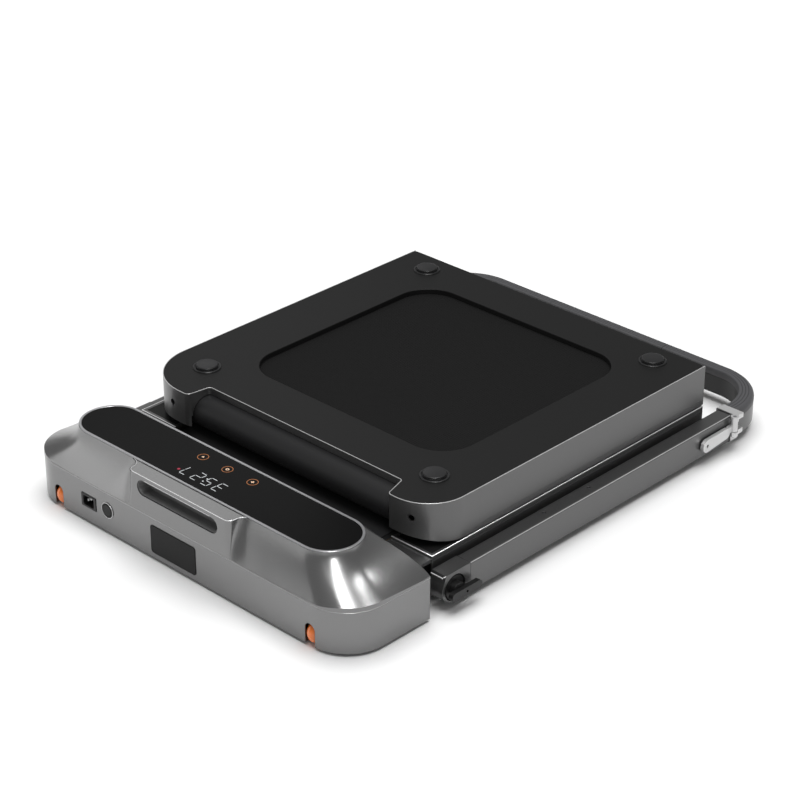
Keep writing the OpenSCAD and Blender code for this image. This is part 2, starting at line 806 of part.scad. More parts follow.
// A hollow side rail from y0 to the fold, with an edge beside the cover
module side_rail(y0) {
    difference() {
        union() {
            block([rail_in, y0, cover_top], [half_w, deck_rear, foot_rail_z]);
            block([half_w - edge_w, y0, edge_z], [half_w, deck_rear, cover_top]);
        }
        block([rail_in + rail_wall, y0 - 1, cover_top + rail_wall],
              [half_w - rail_wall, deck_rear + 1, foot_rail_z - rail_wall]);
    }
}

// Room for the hinge knuckles at the fold
module hinge_room() {
    block([hinge_x - 1, deck_rear - 8, 0], [hinge_end, far * 2, far]);
}

// A foot rail from y0 to the fold, with a seat for its pad
module foot_rail(y0) {
    difference() {
        block([foot_rail_in, y0, foot_rail_z], [half_w, deck_rear, deck_top]);
        block([foot_rail_in + lip_w, y0 + lip_w, deck_top - pad_t],
              [half_w - lip_w, deck_rear - 12 - lip_w, far]);
        hinge_room();
    }
}

// The rubber pad in a foot rail
module foot_pad(y0) {
    block([foot_rail_in + lip_w, y0 + lip_w, deck_top - pad_t],
          [half_w - lip_w, deck_rear - 12 - lip_w, deck_top - 0.3]);
}

// Cross members between the side rails, shortened where the frame plates sit
module members(ys) {
    for (y = ys) difference() {
        block([-rail_in, y - member_d / 2, board_z - member_h], [rail_in, y + member_d / 2, board_z]);
        block([-rail_in - 1, y - member_d / 2 + 2, board_z - member_h + 2],
              [rail_in + 1, y + member_d / 2 - 2, board_z - 2]);
    }
}

// A belt band: round the roller at y0, with its runs to the fold
module belt_band(y0) {
    along_x(-belt_w / 2, belt_w / 2) difference() {
        union() {
            translate([y0, roller_z]) circle(wrap_r, $fn = 96);
            translate([y0, roller_z - wrap_r]) square([deck_rear - y0, 2 * wrap_r]);
        }
        translate([y0, roller_z]) circle(roller_r + run_gap, $fn = 96);
        translate([y0, roller_z - roller_r]) square([far * 2, 2 * roller_r]);
    }
}

// The opening in a section's cover
module opening_shape(grow) {
    translate([opening_x, opening_y]) round_rect(opening_w + 2 * grow, opening_l + 2 * grow,
                                                 opening_r + grow);
}

// The flat underside of a section, with a well round its opening
module cover_plate(tail) {
    difference() {
        union() {
            translate([0, 0, foot_h]) linear_extrude(cover_t)
                polygon(tail ? tail_outline(edge_w) : front_outline(edge_w));
            translate([0, 0, foot_h]) linear_extrude(opening_d) opening_shape(cover_t);
        }
        if (tail) linear_extrude(far) polygon(notch(edge_w));
        linear_extrude(far) opening_shape(0);
    }
}

// The mesh panel behind the opening
module mesh_panel() {
    translate([0, 0, foot_h + opening_d]) linear_extrude(mesh_t) opening_shape(cover_t);
}

// Four round feet under a section
module feet() {
    for (x = [-foot_x, foot_x], y = [foot_y_near, foot_y_far]) translate([x, y, 0]) {
        cylinder(r = foot_r - 2, h = foot_h);
        translate([0, 0, foot_h - 2]) cylinder(r = foot_r, h = 2);
    }
}

module front_rails() {
    color(metal_grey) placed() both_sides() side_rail(deck_front);
}

module front_foot_rails() {
    color(metal_grey) placed() both_sides() foot_rail(deck_front);
}

module front_foot_pads() {
    color(dark_grey) placed() both_sides() foot_pad(deck_front);
}

module front_board() {
    color(wood) placed() block([-board_half, head_d + board_gap, board_z], [board_half, board_end, board_top]);
}

module front_members() {
    color(steel) placed() members(front_member_ys);
}

module front_belt() {
    color(belt_black) placed() belt_band(drive_y);
}

module front_cover() {
    color(cover_black) placed() cover_plate(false);
}

module front_mesh() {
    color(cover_black) placed() mesh_panel();
}

module feet_front() {
    color(rubber) placed() feet();
}

module rear_rails() {
    color(metal_grey) placed() folded_over() both_sides() side_rail(cap_rear);
}

module rear_foot_rails() {
    color(metal_grey) placed() folded_over() both_sides() foot_rail(cap_rear);
}

module rear_foot_pads() {
    color(dark_grey) placed() folded_over() both_sides() foot_pad(cap_rear);
}

module rear_board() {
    color(wood) placed() folded_over()
        block([-board_half, tail_y + wrap_r + board_gap, board_z], [board_half, board_end, board_top]);
}

module rear_members() {
    color(steel) placed() folded_over() members(rear_member_ys);
}

module rear_belt() {
    color(belt_black) placed() folded_over() belt_band(tail_y);
}

module rear_cover() {
    color(cover_black) placed() folded_over() cover_plate(true);
}

module rear_mesh() {
    color(cover_black) placed() folded_over() mesh_panel();
}

module feet_rear() {
    color(rubber) placed() folded_over() feet();
}

// The swept-up volume that an end cap stays in
module sweep_room(e) {
    bar_x(sweep_r - e, -far, far, sweep_y, deck_top - sweep_r);
    block([-far, sweep_y, 0], [far, far * 2, deck_top - e]);
}

// Plan of both end caps, e is the wall left off
module caps_plan(e) {
    difference() {
        polygon(tail_outline(e));
        polygon(notch(e));
        translate([-foot_rail_in, notch_back + shell_wall]) square([2 * foot_rail_in, far * 2]);
    }
}

// The hollow end cap on one side
module end_cap(side) {
    bolt_x = side > 0 ? bolt_right : bolt_left;
    difference() {
        intersection() {
            translate([0, 0, edge_z]) linear_extrude(deck_top - edge_z) caps_plan(0);
            sweep_room(0);
            block([side > 0 ? 0 : -far, 0, 0], [side > 0 ? far : 0, cap_rear, far]);
        }
        intersection() {
            translate([0, 0, cover_top - 1]) linear_extrude(far) caps_plan(shell_wall);
            sweep_room(shell_wall);
        }
        linear_extrude(cover_top) difference() {
            polygon(tail_outline(edge_w));
            polygon(notch(edge_w));
        }
        bar_x(wrap_r + 1.5, -belt_w / 2 - 4, belt_w / 2 + 4, tail_y, roller_z);
        block([-belt_w / 2 - 4, tail_front + 6, roller_z], [belt_w / 2 + 4, far, far]);
        bar_x(axle_r + 1, -plate_x_tail, plate_x_tail, tail_y, roller_z);
        bar_y(cap_hole_r, 0, cap_rear - 20, side * bolt_x, bolt_z);
    }
}

module end_caps() {
    color(dark_grey) placed() folded_over() {
        end_cap(-1);
        end_cap(1);
    }
}

module tail_roller() {
    color(steel) placed() folded_over() difference() {
        bar_x(roller_r, -belt_w / 2 - 2, belt_w / 2 + 2, tail_y, roller_z);
        bar_x(axle_r + run_gap, -far, far, tail_y, roller_z);
    }
}

module tail_axle() {
    member_front = rear_member_ys[0] - member_d / 2;
    color(steel) placed() folded_over() {
        bar_x(axle_r, -plate_x_tail, plate_x_tail, tail_y, roller_z);
        both_sides() block([plate_x_tail, tail_y - 11, roller_z - 9.5],
                           [plate_x_tail + plate_t, member_front, roller_z + 5]);
    }
}

module tension_bolts() {
    member_front = rear_member_ys[0] - member_d / 2;
    color(steel) placed() folded_over() for (x = [-bolt_left, bolt_right]) {
        bar_y(2.5, tail_front + 13, member_front, x, bolt_z);
        bar_y(4.5, tail_front + 13, tail_front + 17, x, bolt_z);
    }
}

// One knuckle at step i of the hinge, with its arm under the foot rail
module knuckle(i, bored) {
    x = hinge_x + i * hinge_step;
    difference() {
        union() {
            bar_x(knuckle_r, x, x + knuckle_l, fold_y, fold_z);
            block([x, deck_rear - 6, foot_rail_z - arm_t], [x + knuckle_l, fold_y, fold_z]);
            block([x, deck_rear - arm_l, foot_rail_z - arm_t], [x + knuckle_l, deck_rear - 5, foot_rail_z]);
        }
        if (bored) bar_x(hinge_pin_r + run_gap, 0, far, fold_y, fold_z);
    }
}

module hinge_front() {
    color(steel) placed() both_sides() {
        knuckle(0, true);
        knuckle(3, true);
    }
}

module hinge_link() {
    x = hinge_x + hinge_step;
    color(steel) placed() both_sides() {
        bar_x(knuckle_r, x, x + knuckle_l, fold_y, fold_z);
        bar_x(hinge_pin_r, hinge_x + 1, hinge_end - 1.5, fold_y, fold_z);
    }
}

module hinge_rear() {
    color(steel) placed() folded_over() both_sides() knuckle(2, true);
}

module pivot_brackets() {
    color(steel) placed() both_sides() {
        bar_x(pivot_r + 6, half_w, half_w + 3, pivot_y, pivot_z);
        bar_x(pivot_r, half_w, pin_end, pivot_y, pivot_z);
    }
}

// Cross-section of a post, e is the wall left off
module post_section(e) {
    translate([post_in + post_w / 2, post_z + post_h / 2])
        round_rect(post_w - 2 * e, post_h - 2 * e, 3.5 - e);
}

module post() {
    difference() {
        along_y(housing_rear, post_rear) post_section(0);
        along_y(housing_rear - 1, post_rear + 1) post_section(post_wall);
        for (y = post_hole_ys) translate([post_in + 12, y, post_top - post_wall - 1])
            cylinder(r = 3, h = far);
    }
}

module posts() {
    color(dark_grey) placed() both_sides() post();
}

// The cast housing at a post's pivot
module housing() {
    nose_r = post_h / 2;
    difference() {
        along_x(post_in, post_out) {
            translate([pivot_y - 1.5, post_z + nose_r]) circle(nose_r, $fn = 96);
            polygon([[pivot_y - 1.5, post_z], [housing_rear, post_z], [housing_rear, post_top],
                     [pivot_y - 18.5, post_top], [pivot_y - 26, post_z + nose_r]]);
        }
        bar_x(pivot_r + run_gap, 0, pin_end + 0.5, pivot_y, pivot_z);
        bar_x(shaft_r + run_gap, 0, far, pivot_y, pivot_z);
        bar_x(recess_r, post_out - recess_d, far, pivot_y, pivot_z);
    }
}

module housings() {
    color(dark_grey) placed() both_sides() housing();
}

module post_gaskets() {
    color(rubber) placed() both_sides() difference() {
        along_y(post_rear, collar_y) post_section(-0.6);
        along_y(post_rear - 1, collar_y + 1) post_section(post_wall);
    }
}

// A plate that carries the clamp pin's eye
module clamp_lug(z) {
    difference() {
        union() {
            translate([pin_x, pin_y, z]) cylinder(r = eye_r, h = eye_h);
            block([post_out - 1, collar_y, z], [pin_x + 2, collar_y + collar_t, z + eye_h]);
            block([pin_x - eye_r + 1, pin_y, z], [pin_x + 2, collar_y + 2, z + eye_h]);
        }
        translate([pin_x, pin_y, z - 1]) cylinder(r = 3 + run_gap, h = far);
    }
}

module collars() {
    color(silver) placed() both_sides() {
        difference() {
            along_y(collar_y, collar_y + collar_t)
                translate([post_in + post_w / 2 - 1, (handle_top + post_z) / 2])
                    round_rect(post_w + 4, handle_top - post_z, 3);
            along_y(collar_y - 1, collar_y + collar_t + 1) post_section(post_wall);
        }
        difference() {
            union() {
                clamp_lug(upper_eye_z);
                clamp_lug(lower_eye_z);
            }
            along_y(0, far * 2) translate([post_in + post_w / 2 - 1, (handle_top + post_z) / 2])
                round_rect(post_w + 4, handle_top - post_z, 3);
        }
    }
}

module clamp_pins() {
    color(steel) placed() both_sides() translate([pin_x, pin_y, lower_eye_z])
        cylinder(r = 3, h = handle_top - lower_eye_z - 0.5);
}

// The wing knob that locks a post
module knob() {
    difference() {
        union() {
            bar_x(recess_r - 2.5, post_out - recess_d + 0.5, post_out - 1, pivot_y, pivot_z);
            bar_x(11, post_out - 2, post_out + 8, pivot_y, pivot_z);
            along_x(post_out + 15.2 - wing_t, post_out + 15.2)
                translate([pivot_y + 9.5, pivot_z - 4]) stadium(wing_l / 2 - wing_h / 2, wing_h / 2);
            bar_x(shaft_r, pin_end + 1, post_out, pivot_y, pivot_z);
        }
        bar_x(2, post_out + 10, far, pivot_y + 9.5, pivot_z - 4);
    }
}

module knob_left() {
    color(dark_grey) placed() on_side(-1) knob();
}

module knob_right() {
    color(dark_grey) placed() on_side(1) knob();
}

// The clamp lever that lies along the post
module lever() {
    low = lower_eye_z + eye_h + 0.5;
    high = upper_eye_z - 0.5;
    difference() {
        union() {
            translate([pin_x, pin_y, low]) cylinder(r = eye_r - 1, h = high - low);
            block([post_out + 2.2, pin_y - 12, low], [pin_x, pin_y, low + 10]);
            along_x(post_out + 2.2, post_out + 8.2) hull() {
                translate([pin_y - lever_l + lever_h / 2, 33]) circle(lever_h / 2);
                translate([pin_y - 18, low + 1]) circle(lever_h / 2 - 2);
            }
        }
        translate([pin_x, pin_y, 0]) cylinder(r = 3 + run_gap, h = far);
        bar_x(3, 0, far, pin_y - lever_l + lever_h / 2, 33);
    }
}

module lever_left() {
    color(silver) placed() on_side(-1) lever();
}

module lever_right() {
    color(silver) placed() on_side(1) lever();
}

module inner_tubes() {
    color(metal_grey) placed() both_sides() difference() {
        block([tube_in, inner_front, tube_bottom], [tube_out, handle_y, tube_top]);
        block([tube_in + tube_wall, inner_front - 1, tube_bottom + tube_wall],
              [tube_out - tube_wall, handle_y + 1, tube_top - tube_wall]);
    }
}

// Plan of the handle's bow, e is the wall left off
module bow_plan(e) {
    inner_r = handle_r - post_w;
    corner = [post_out - handle_r, handle_rear - handle_r];
    difference() {
        union() {
            for (x = [-corner[0], corner[0]]) translate([x, corner[1]]) circle(handle_r - e, $fn = 128);
            translate([-post_out + e, handle_y + e]) square([2 * post_out - 2 * e, corner[1] - handle_y - e]);
            translate([-corner[0], corner[1]]) square([2 * corner[0], handle_r - e]);
        }
        for (x = [-corner[0], corner[0]]) translate([x, bar_front - inner_r])
            circle(inner_r + e, $fn = 128);
        translate([-post_in - e, 0]) square([2 * post_in + 2 * e, bar_front - inner_r]);
        translate([-corner[0], 0]) square([2 * corner[0], bar_front + e]);
        translate([-far, 0]) square([2 * far, handle_y + e]);
    }
}

module handle_frame() {
    split = handle_top - grip_t;
    color(metal_grey) placed() difference() {
        translate([0, 0, handle_bottom]) linear_extrude(split - handle_bottom) bow_plan(0);
        translate([0, 0, handle_bottom - 1]) linear_extrude(split - handle_bottom - 3) bow_plan(2.5);
    }
}

module handle_grips() {
    color(rubber) placed() translate([0, 0, handle_top - grip_t]) linear_extrude(grip_t) bow_plan(0);
}

hood();
head_tray();
panel_rim();
panel_glass();
display_board();
grip_pocket();
power_inlet();
inlet_pins();
switch_bezel();
power_switch();
rating_plate();
wheel_left();
wheel_right();
wheel_brackets();
motor();
motor_cradle();
motor_pulley();
drive_belt();
control_board();
drive_roller();
drive_axle();
frame_plates();
front_rails();
front_foot_rails();
front_foot_pads();
front_board();
front_members();
front_belt();
front_cover();
front_mesh();
feet_front();
rear_rails();
rear_foot_rails();
rear_foot_pads();
rear_board();
rear_members();
rear_belt();
rear_cover();
rear_mesh();
feet_rear();
end_caps();
tail_roller();
tail_axle();
tension_bolts();
hinge_front();
hinge_link();
hinge_rear();
pivot_brackets();
posts();
housings();
post_gaskets();
collars();
clamp_pins();
knob_left();
knob_right();
lever_left();
lever_right();
inner_tubes();
handle_frame();
handle_grips();
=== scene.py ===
"""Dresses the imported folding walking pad: camera, studio, finishes and every visible piece."""

import logging
import math
from dataclasses import dataclass
from enum import Enum
from typing import NamedTuple, Sequence

import bmesh
import bpy
from mathutils import Matrix, Vector


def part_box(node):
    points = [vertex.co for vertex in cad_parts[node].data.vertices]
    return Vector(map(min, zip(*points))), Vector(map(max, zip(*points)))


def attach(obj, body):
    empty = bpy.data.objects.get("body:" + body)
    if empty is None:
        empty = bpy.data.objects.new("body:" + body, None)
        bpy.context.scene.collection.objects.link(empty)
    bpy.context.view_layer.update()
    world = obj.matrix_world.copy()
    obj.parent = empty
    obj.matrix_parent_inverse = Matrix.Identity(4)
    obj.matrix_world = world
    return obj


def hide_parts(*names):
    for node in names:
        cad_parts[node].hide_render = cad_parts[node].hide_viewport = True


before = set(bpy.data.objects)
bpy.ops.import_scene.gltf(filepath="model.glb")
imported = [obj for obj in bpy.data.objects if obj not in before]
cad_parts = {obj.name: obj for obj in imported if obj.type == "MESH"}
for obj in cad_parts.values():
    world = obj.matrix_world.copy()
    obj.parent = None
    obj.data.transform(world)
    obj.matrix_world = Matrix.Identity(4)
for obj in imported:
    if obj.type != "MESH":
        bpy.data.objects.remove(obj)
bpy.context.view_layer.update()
LOG = logging.getLogger("walking_pad")

MM = 0.001
IMAGE_WIDTH = 800
SENSOR_WIDTH = 36.0
# Points nearer than this, in metres, are one point.
MERGE_DISTANCE = 0.000002
# Faces of a solid that differ by fewer degrees than this are one flat face.
FLAT_ANGLE = 0.6
# Edges of a solid that are sharper than this many degrees are rounded.
ROUND_ANGLE = 32.0
# Edges sharper than these many degrees stay sharp: on solids, on built pieces, on the hood, on turned and
# swept pieces, on feet and on beads.
SOLID_SHARP = 28.0
BUILT_SHARP = 35.0
HOOD_SHARP = 38.0
SWEPT_SHARP = 40.0
FOOT_SHARP = 50.0
BEAD_SHARP = 60.0
# Row-frame place of the head's front, from which the part's own depths are counted, in mm.
HEAD_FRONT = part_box("head_tray")[0][1] / MM

Flat = tuple[float, float]
Point = tuple[float, float, float]
Surface = tuple[list[Point], list[list[int]]]


class Body(Enum):
    """The moving bodies that the pieces ride on."""

    BASE = "base"
    REAR = "rear_section"
    HANDRAIL = "handrail"
    HANDLE = "handle"
    SWITCH = "switch_rocker"
    WHEEL_LEFT = "wheel_l"
    WHEEL_RIGHT = "wheel_r"
    LEVER_LEFT = "lever_l"
    LEVER_RIGHT = "lever_r"
    KNOB_LEFT = "knob_l"
    KNOB_RIGHT = "knob_r"


class Side(Enum):
    """Left and right of the pad as the signs of X."""

    LEFT = -1
    RIGHT = 1


# Materials


def linear(code: str) -> tuple[float, float, float, float]:
    """Turns an sRGB hex code into a linear colour.

    Args:
        code: Six hex digits after a hash.

    Returns:
        Linear red, green, blue and an alpha of one.
    """
    parts = [int(code[i : i + 2], 16) / 255 for i in (1, 3, 5)]
    red, green, blue = (c / 12.92 if c <= 0.04045 else ((c + 0.055) / 1.055) ** 2.4 for c in parts)
    return red, green, blue, 1.0


def add_node(tree: bpy.types.NodeTree, kind: str, inputs: dict | None = None,
             **settings: object) -> bpy.types.Node:
    """Adds a node, sets its properties and fills or links its inputs.

    Args:
        tree: The tree the node goes in.
        kind: The node's type name.
        inputs: Values or output sockets by input name or index.
        settings: Properties by name.

    Returns:
        The new node.
    """
    node = tree.nodes.new(kind)
    for name, value in settings.items():
        setattr(node, name, value)
    for key, value in (inputs or {}).items():
        if isinstance(value, bpy.types.NodeSocket):
            tree.links.new(value, node.inputs[key])
        else:
            node.inputs[key].default_value = value
    return node


@dataclass(frozen=True)
class Finish:
    """A surface, as its base material and the marks its making leaves."""

    name: str
    colour: str
    roughness: float
    metallic: float = 0.0
    specular: float = 0.5
    grain_mm: float = 0.0
    grain_depth: float = 0.0
    tone_spread: float = 0.0
    coat: float = 0.0
    coat_roughness: float = 0.08
    glow: float = 0.0
    bump_strength: float = 0.5
    noise_detail: float = 3.0

    def material(self) -> bpy.types.Material:
        """Gives this finish's material, made once.

        Returns:
            The material.
        """
        known = bpy.data.materials.get(self.name)
        if known:
            return known
        made = bpy.data.materials.new(self.name)
        made.use_nodes = True
        made.diffuse_color = colour = linear(self.colour)
        shader = made.node_tree.nodes["Principled BSDF"]
        values = {"Base Color": colour, "Metallic": self.metallic, "Roughness": self.roughness,
                  "Specular IOR Level": self.specular, "Coat Weight": self.coat,
                  "Coat Roughness": self.coat_roughness}
        if self.glow:
            values |= {"Emission Color": colour, "Emission Strength": self.glow}
        for name, value in values.items():
            shader.inputs[name].default_value = value
        if self.grain_mm:
            self.add_grain(made.node_tree, shader)
        return made

    def add_grain(self, tree: bpy.types.NodeTree, shader: bpy.types.Node) -> None:
        """Adds the fine grain to the colour and the surface.

        Args:
            tree: The material's tree.
            shader: Its surface shader.
        """
        place = add_node(tree, "ShaderNodeTexCoord")
        grain = add_node(tree, "ShaderNodeTexNoise", {"Vector": place.outputs["Object"],
                                                      "Scale": 1 / (self.grain_mm * MM),
                                                      "Detail": self.noise_detail})
        if self.grain_depth:
            bump = add_node(tree, "ShaderNodeBump", {"Height": grain.outputs[0],
                                                     "Strength": self.bump_strength,
                                                     "Distance": self.grain_depth * MM})
            tree.links.new(bump.outputs[0], shader.inputs["Normal"])
        if self.tone_spread:
            low, high = (tuple(c * share for c in linear(self.colour)[:3]) + (1.0,)
                         for share in (1 - self.tone_spread, 1 + self.tone_spread))
            tone = add_node(tree, "ShaderNodeMix", {0: grain.outputs[0], 6: low, 7: high}, data_type="RGBA")
            tree.links.new(tone.outputs[2], shader.inputs["Base Color"])


# Metallic lacquer sprayed on moulded ABS: a soft broad highlight with a fine flake in it.
SATIN_LACQUER = Finish("satin_metallic_lacquer_on_abs", "#818181", 0.25, 0.86, grain_mm=0.9,
                       tone_spread=0.05)
# Powder coat with metal flake on extruded aluminium: darker, the same soft shine.
FLAKE_POWDER_COAT = Finish("flake_powder_coat_on_aluminium", "#676767", 0.36, 0.8, grain_mm=0.8,
                           tone_spread=0.05)
# The deck's side band is brighter than the posts.
SIDE_POWDER_COAT = Finish("fine_powder_coat_on_side_band", "#676767", 0.32, 0.68, grain_mm=0.8,
                          tone_spread=0.04)
# Painted highlight: a near-white bead laid along edges where light catches them, thin light lines.
EDGE_HIGHLIGHT = Finish("bright_cut_aluminium_edge", "#ededee", 0.3, 0.45, grain_mm=1.5, tone_spread=0.04)
# Painted highlight along the folded section's edge and the posts' top edges, a fine pale line.
SECTION_HIGHLIGHT = Finish("fine_machined_edge", "#c4c4c4", 0.4, 0.4, grain_mm=1.5, tone_spread=0.04)
# Painted highlight along the crease between the hood and the band, and along the foot rails' inner step: a
# softer light line.
CREASE_HIGHLIGHT = Finish("soft_crease_edge", "#b4b4b4", 0.35, 0.6, grain_mm=1.5, tone_spread=0.04)
# Satin anodised strip round the glass.
ANODISED_RIM = Finish("satin_anodised_aluminium_rim", "#a9a9ab", 0.3, 0.9, grain_mm=0.7, tone_spread=0.04)
# Black backed glass: almost no light comes back from it.
BLACK_GLASS = Finish("black_backed_polished_glass", "#0d0d0d", 0.2, specular=0.02)
# Grained charcoal ABS of the deck's underside.
GRAINED_ABS = Finish("grained_charcoal_abs", "#181818", 0.5, specular=0.18, grain_mm=0.7,
                     grain_depth=0.03, tone_spread=0.05)
# Woven polyester behind the opening.
WOVEN_MESH = Finish("woven_black_polyester", "#171717", 0.8, specular=0.12, grain_mm=1.2,
                    tone_spread=0.03)
# PVC running belt with a fine matt face.
PVC_BELT = Finish("matt_pvc_running_belt", "#1b1b1c", 0.55, specular=0.35, grain_mm=0.6,
                  grain_depth=0.02, tone_spread=0.08)
# Black moulded ABS with a slight gloss; also laid on the handle bar's inward faces as painted shade.
BLACK_ABS_AND_PAINTED_SHADE = Finish("black_moulded_abs", "#191919", 0.36, specular=0.35, grain_mm=0.8, grain_depth=0.01)
# Polished black ABS of the rocker switch.
ROCKER_ABS = Finish("polished_black_abs", "#0b0b0b", 0.25, specular=0.2, grain_mm=0.8, grain_depth=0.005)
# Grained ABS lining of the carrying grip, a shade lighter.
POCKET_ABS = Finish("grained_grey_abs_lining", "#626262", 0.6, specular=0.3, grain_mm=0.9, grain_depth=0.01)
# Nickel plated contact pins.
BRIGHT_PIN = Finish("nickel_plated_pin", "#f2f2f2", 0.3, 0.4, grain_mm=0.8, tone_spread=0.03)
# Moulded rubber of the feet and seals.
MOULDED_RUBBER = Finish("moulded_black_rubber", "#1d1d1e", 0.42, specular=0.4, grain_mm=0.9,
                        grain_depth=0.02)
# Soft grip rubber on the handle, slightly lighter.
GRIP_RUBBER = Finish("soft_grey_grip_rubber", "#4c4c4e", 0.52, specular=0.4, grain_mm=0.7,
                     grain_depth=0.02, tone_spread=0.05)
# Glossy orange polyurethane of the transport wheels.
ORANGE_POLYURETHANE = Finish("glossy_orange_polyurethane", "#f07b2d", 0.25, coat=0.5, grain_mm=0.8,
                             grain_depth=0.01, tone_spread=0.03)
# Zinc plated steel of hidden brackets and rollers.
ZINC_STEEL = Finish("zinc_plated_steel", "#9a9b9e", 0.38, 0.9, grain_mm=2.0, tone_spread=0.08)
# Cast zinc clamp with a pale satin plating.
PALE_CASTING = Finish("pale_satin_plated_casting", "#d2d2d2", 0.34, 0.6, grain_mm=0.9, grain_depth=0.015,
                      tone_spread=0.04)
# Green solder mask of the boards.
SOLDER_MASK = Finish("green_solder_mask", "#1e5a34", 0.4, grain_mm=2.5, tone_spread=0.08)
# Black enamel of the motor can.
BLACK_ENAMEL = Finish("black_enamel_on_iron", "#2b2c2e", 0.35, grain_mm=1.2, tone_spread=0.06)
# Raw fibreboard under the belt.
FIBREBOARD = Finish("raw_fibreboard", "#8d7350", 0.8, grain_mm=1.5, tone_spread=0.1)
# Phenolic film that the belt slides on, over the board's faces.
PHENOLIC_FILM = Finish("black_phenolic_film", "#1a1a1a", 0.45, specular=0.3, grain_mm=0.8, tone_spread=0.06)
# Lit segments and marks under the glass.
WHITE_LIGHT = Finish("white_lit_segment", "#b9bcbe", 0.5, glow=0.45)
ORANGE_LIGHT = Finish("orange_lit_ring", "#9a5f35", 0.5, glow=0.4)
PALE_LIGHT = Finish("pale_lit_mark", "#d8b79a", 0.5, glow=0.5)
RED_LIGHT = Finish("red_lit_dot", "#8c2438", 0.5, glow=0.4)
# Printed film label, charcoal with a black frame, otherwise bare.
LABEL_FILM = Finish("black_label_film", "#1f1f1f", 0.5, specular=0.15, grain_mm=0.8, tone_spread=0.04)
LABEL_LINE = Finish("black_label_line", "#161616", 0.5, specular=0.15)
# The studio's pale matt floor, which isn't part of the object.
PALE_FLOOR = Finish("pale_matt_floor", "#f4f4f4", 0.9, specular=0.1)


# Mesh tools


def row_point(x: float, depth: float, z: float) -> Vector:
    """Gives a point in metres in the row frame.

    Args:
        x: Sideways place in mm.
        depth: Distance behind the head's front in mm.
        z: Height in mm.

    Returns:
        The point.
    """
    return Vector((x, depth + HEAD_FRONT, z)) * MM


def node_box(node: str) -> tuple[Vector, Vector]:
    """Gives a node's box in mm, with depth from the head's front.

    Args:
        node: The node.

    Returns:
        Its lowest and highest corners.
    """
    front = Vector((0.0, HEAD_FRONT, 0.0))
    low, high = (Vector(corner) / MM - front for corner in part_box(node))
    return low, high


def new_piece(name: str, mesh: bpy.types.Mesh) -> bpy.types.Object:
    """Links an object for a mesh whose place is already in it.

    Args:
        name: The object's name.
        mesh: Its mesh.

    Returns:
        The object.
    """
    piece = bpy.data.objects.new(name, mesh)
    bpy.context.scene.collection.objects.link(piece)
    return piece


def clean(mesh: bpy.types.Mesh, flat_angle: float = 0.0) -> None:
    """Merges doubled points, joins flat faces and turns every face outwards.

    Args:
        mesh: The mesh.
        flat_angle: Faces that differ by fewer degrees are joined, or 0 for none.
    """
    work = bmesh.new()
    work.from_mesh(mesh)
    bmesh.ops.remove_doubles(work, verts=work.verts, dist=MERGE_DISTANCE)
    if flat_angle:
        bmesh.ops.dissolve_limit(work, angle_limit=math.radians(flat_angle), verts=work.verts,
                                 edges=work.edges)
    bmesh.ops.recalc_face_normals(work, faces=work.faces)
    work.to_mesh(mesh)
    work.free()


def shade(mesh: bpy.types.Mesh, smooth_angle: float) -> None:
    """Shades a mesh smooth except at edges sharper than smooth_angle degrees."""
    mesh.shade_smooth()
    mesh.set_sharp_from_angle(angle=math.radians(smooth_angle))


def mesh_piece(name: str, surface: Surface, smooth_angle: float = BUILT_SHARP) -> bpy.types.Object:
    """Makes a piece from a surface in mm, counted from the head's front.

    Args:
        name: The piece's name.
        surface: Its points and faces.
        smooth_angle: Edges sharper than this many degrees stay sharp.

    Returns:
        The piece.
    """
    points, faces = surface
    mesh = bpy.data.meshes.new(name)
    mesh.from_pydata([row_point(*p) for p in points], [], faces)
    clean(mesh)
    shade(mesh, smooth_angle)
    return new_piece(name, mesh)


def bake(piece: bpy.types.Object) -> None:
    """Turns a piece's modifiers into its mesh.

    Args:
        piece: The piece.
    """
    graph = bpy.context.evaluated_depsgraph_get()
    made = bpy.data.meshes.new_from_object(piece.evaluated_get(graph), preserve_all_data_layers=True,
                                           depsgraph=graph)
    piece.modifiers.clear()
    piece.data = made


def round_edges(piece: bpy.types.Object, width_mm: float, steps: int = 2,
                angle: float = ROUND_ANGLE) -> None:
    """Rounds a piece's sharp edges and evens its normals.

    Args:
        piece: The piece.
        width_mm: Width of the round.
        steps: Steps across the round.
        angle: Edges sharper than this many degrees are rounded.
    """
    bevel = piece.modifiers.new("round", "BEVEL")
    bevel.width = width_mm * MM
    bevel.segments = steps
    bevel.limit_method = "ANGLE"
    bevel.angle_limit = math.radians(angle)
    bevel.use_clamp_overlap = True
    piece.modifiers.new("even", "WEIGHTED_NORMAL").keep_sharp = True
    bake(piece)


def node_copy(node: str, finish: Finish) -> bpy.types.Object:
    """Copies a node's solid as clean flat faces, ready for rounding.

    Args:
        node: The node.
        finish: The copy's finish.

    Returns:
        The copy.
    """
    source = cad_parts[node].data
    mesh = bpy.data.meshes.new(f"{node}_dressed")
    mesh.from_pydata([v.co for v in source.vertices], [], [list(p.vertices) for p in source.polygons])
    clean(mesh, FLAT_ANGLE)
    shade(mesh, SOLID_SHARP)
    mesh.materials.append(finish.material())
    return new_piece(mesh.name, mesh)


def hand_over(piece: bpy.types.Object, body: Body, slot: str, *nodes: str) -> None:
    """Tells the frame what a piece rides on and the nodes it stands for.

    Args:
        piece: The piece.
        body: The body it moves with.
        slot: Its material slot; not used.
        nodes: Nodes it replaces.
    """
    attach(piece, body.value)
    if nodes:
        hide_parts(*nodes)
    LOG.info("%s rides on %s", piece.name, body.value)


def paint(piece: bpy.types.Object, finish: Finish) -> None:
    """Gives a piece one finish."""
    piece.data.materials.clear()
    piece.data.materials.append(finish.material())


def dress(piece: bpy.types.Object, finish: Finish, body: Body, slot: str, *nodes: str) -> None:
    """Gives a piece one finish and hands it over, as hand_over says."""
    paint(piece, finish)
    hand_over(piece, body, slot, *nodes)


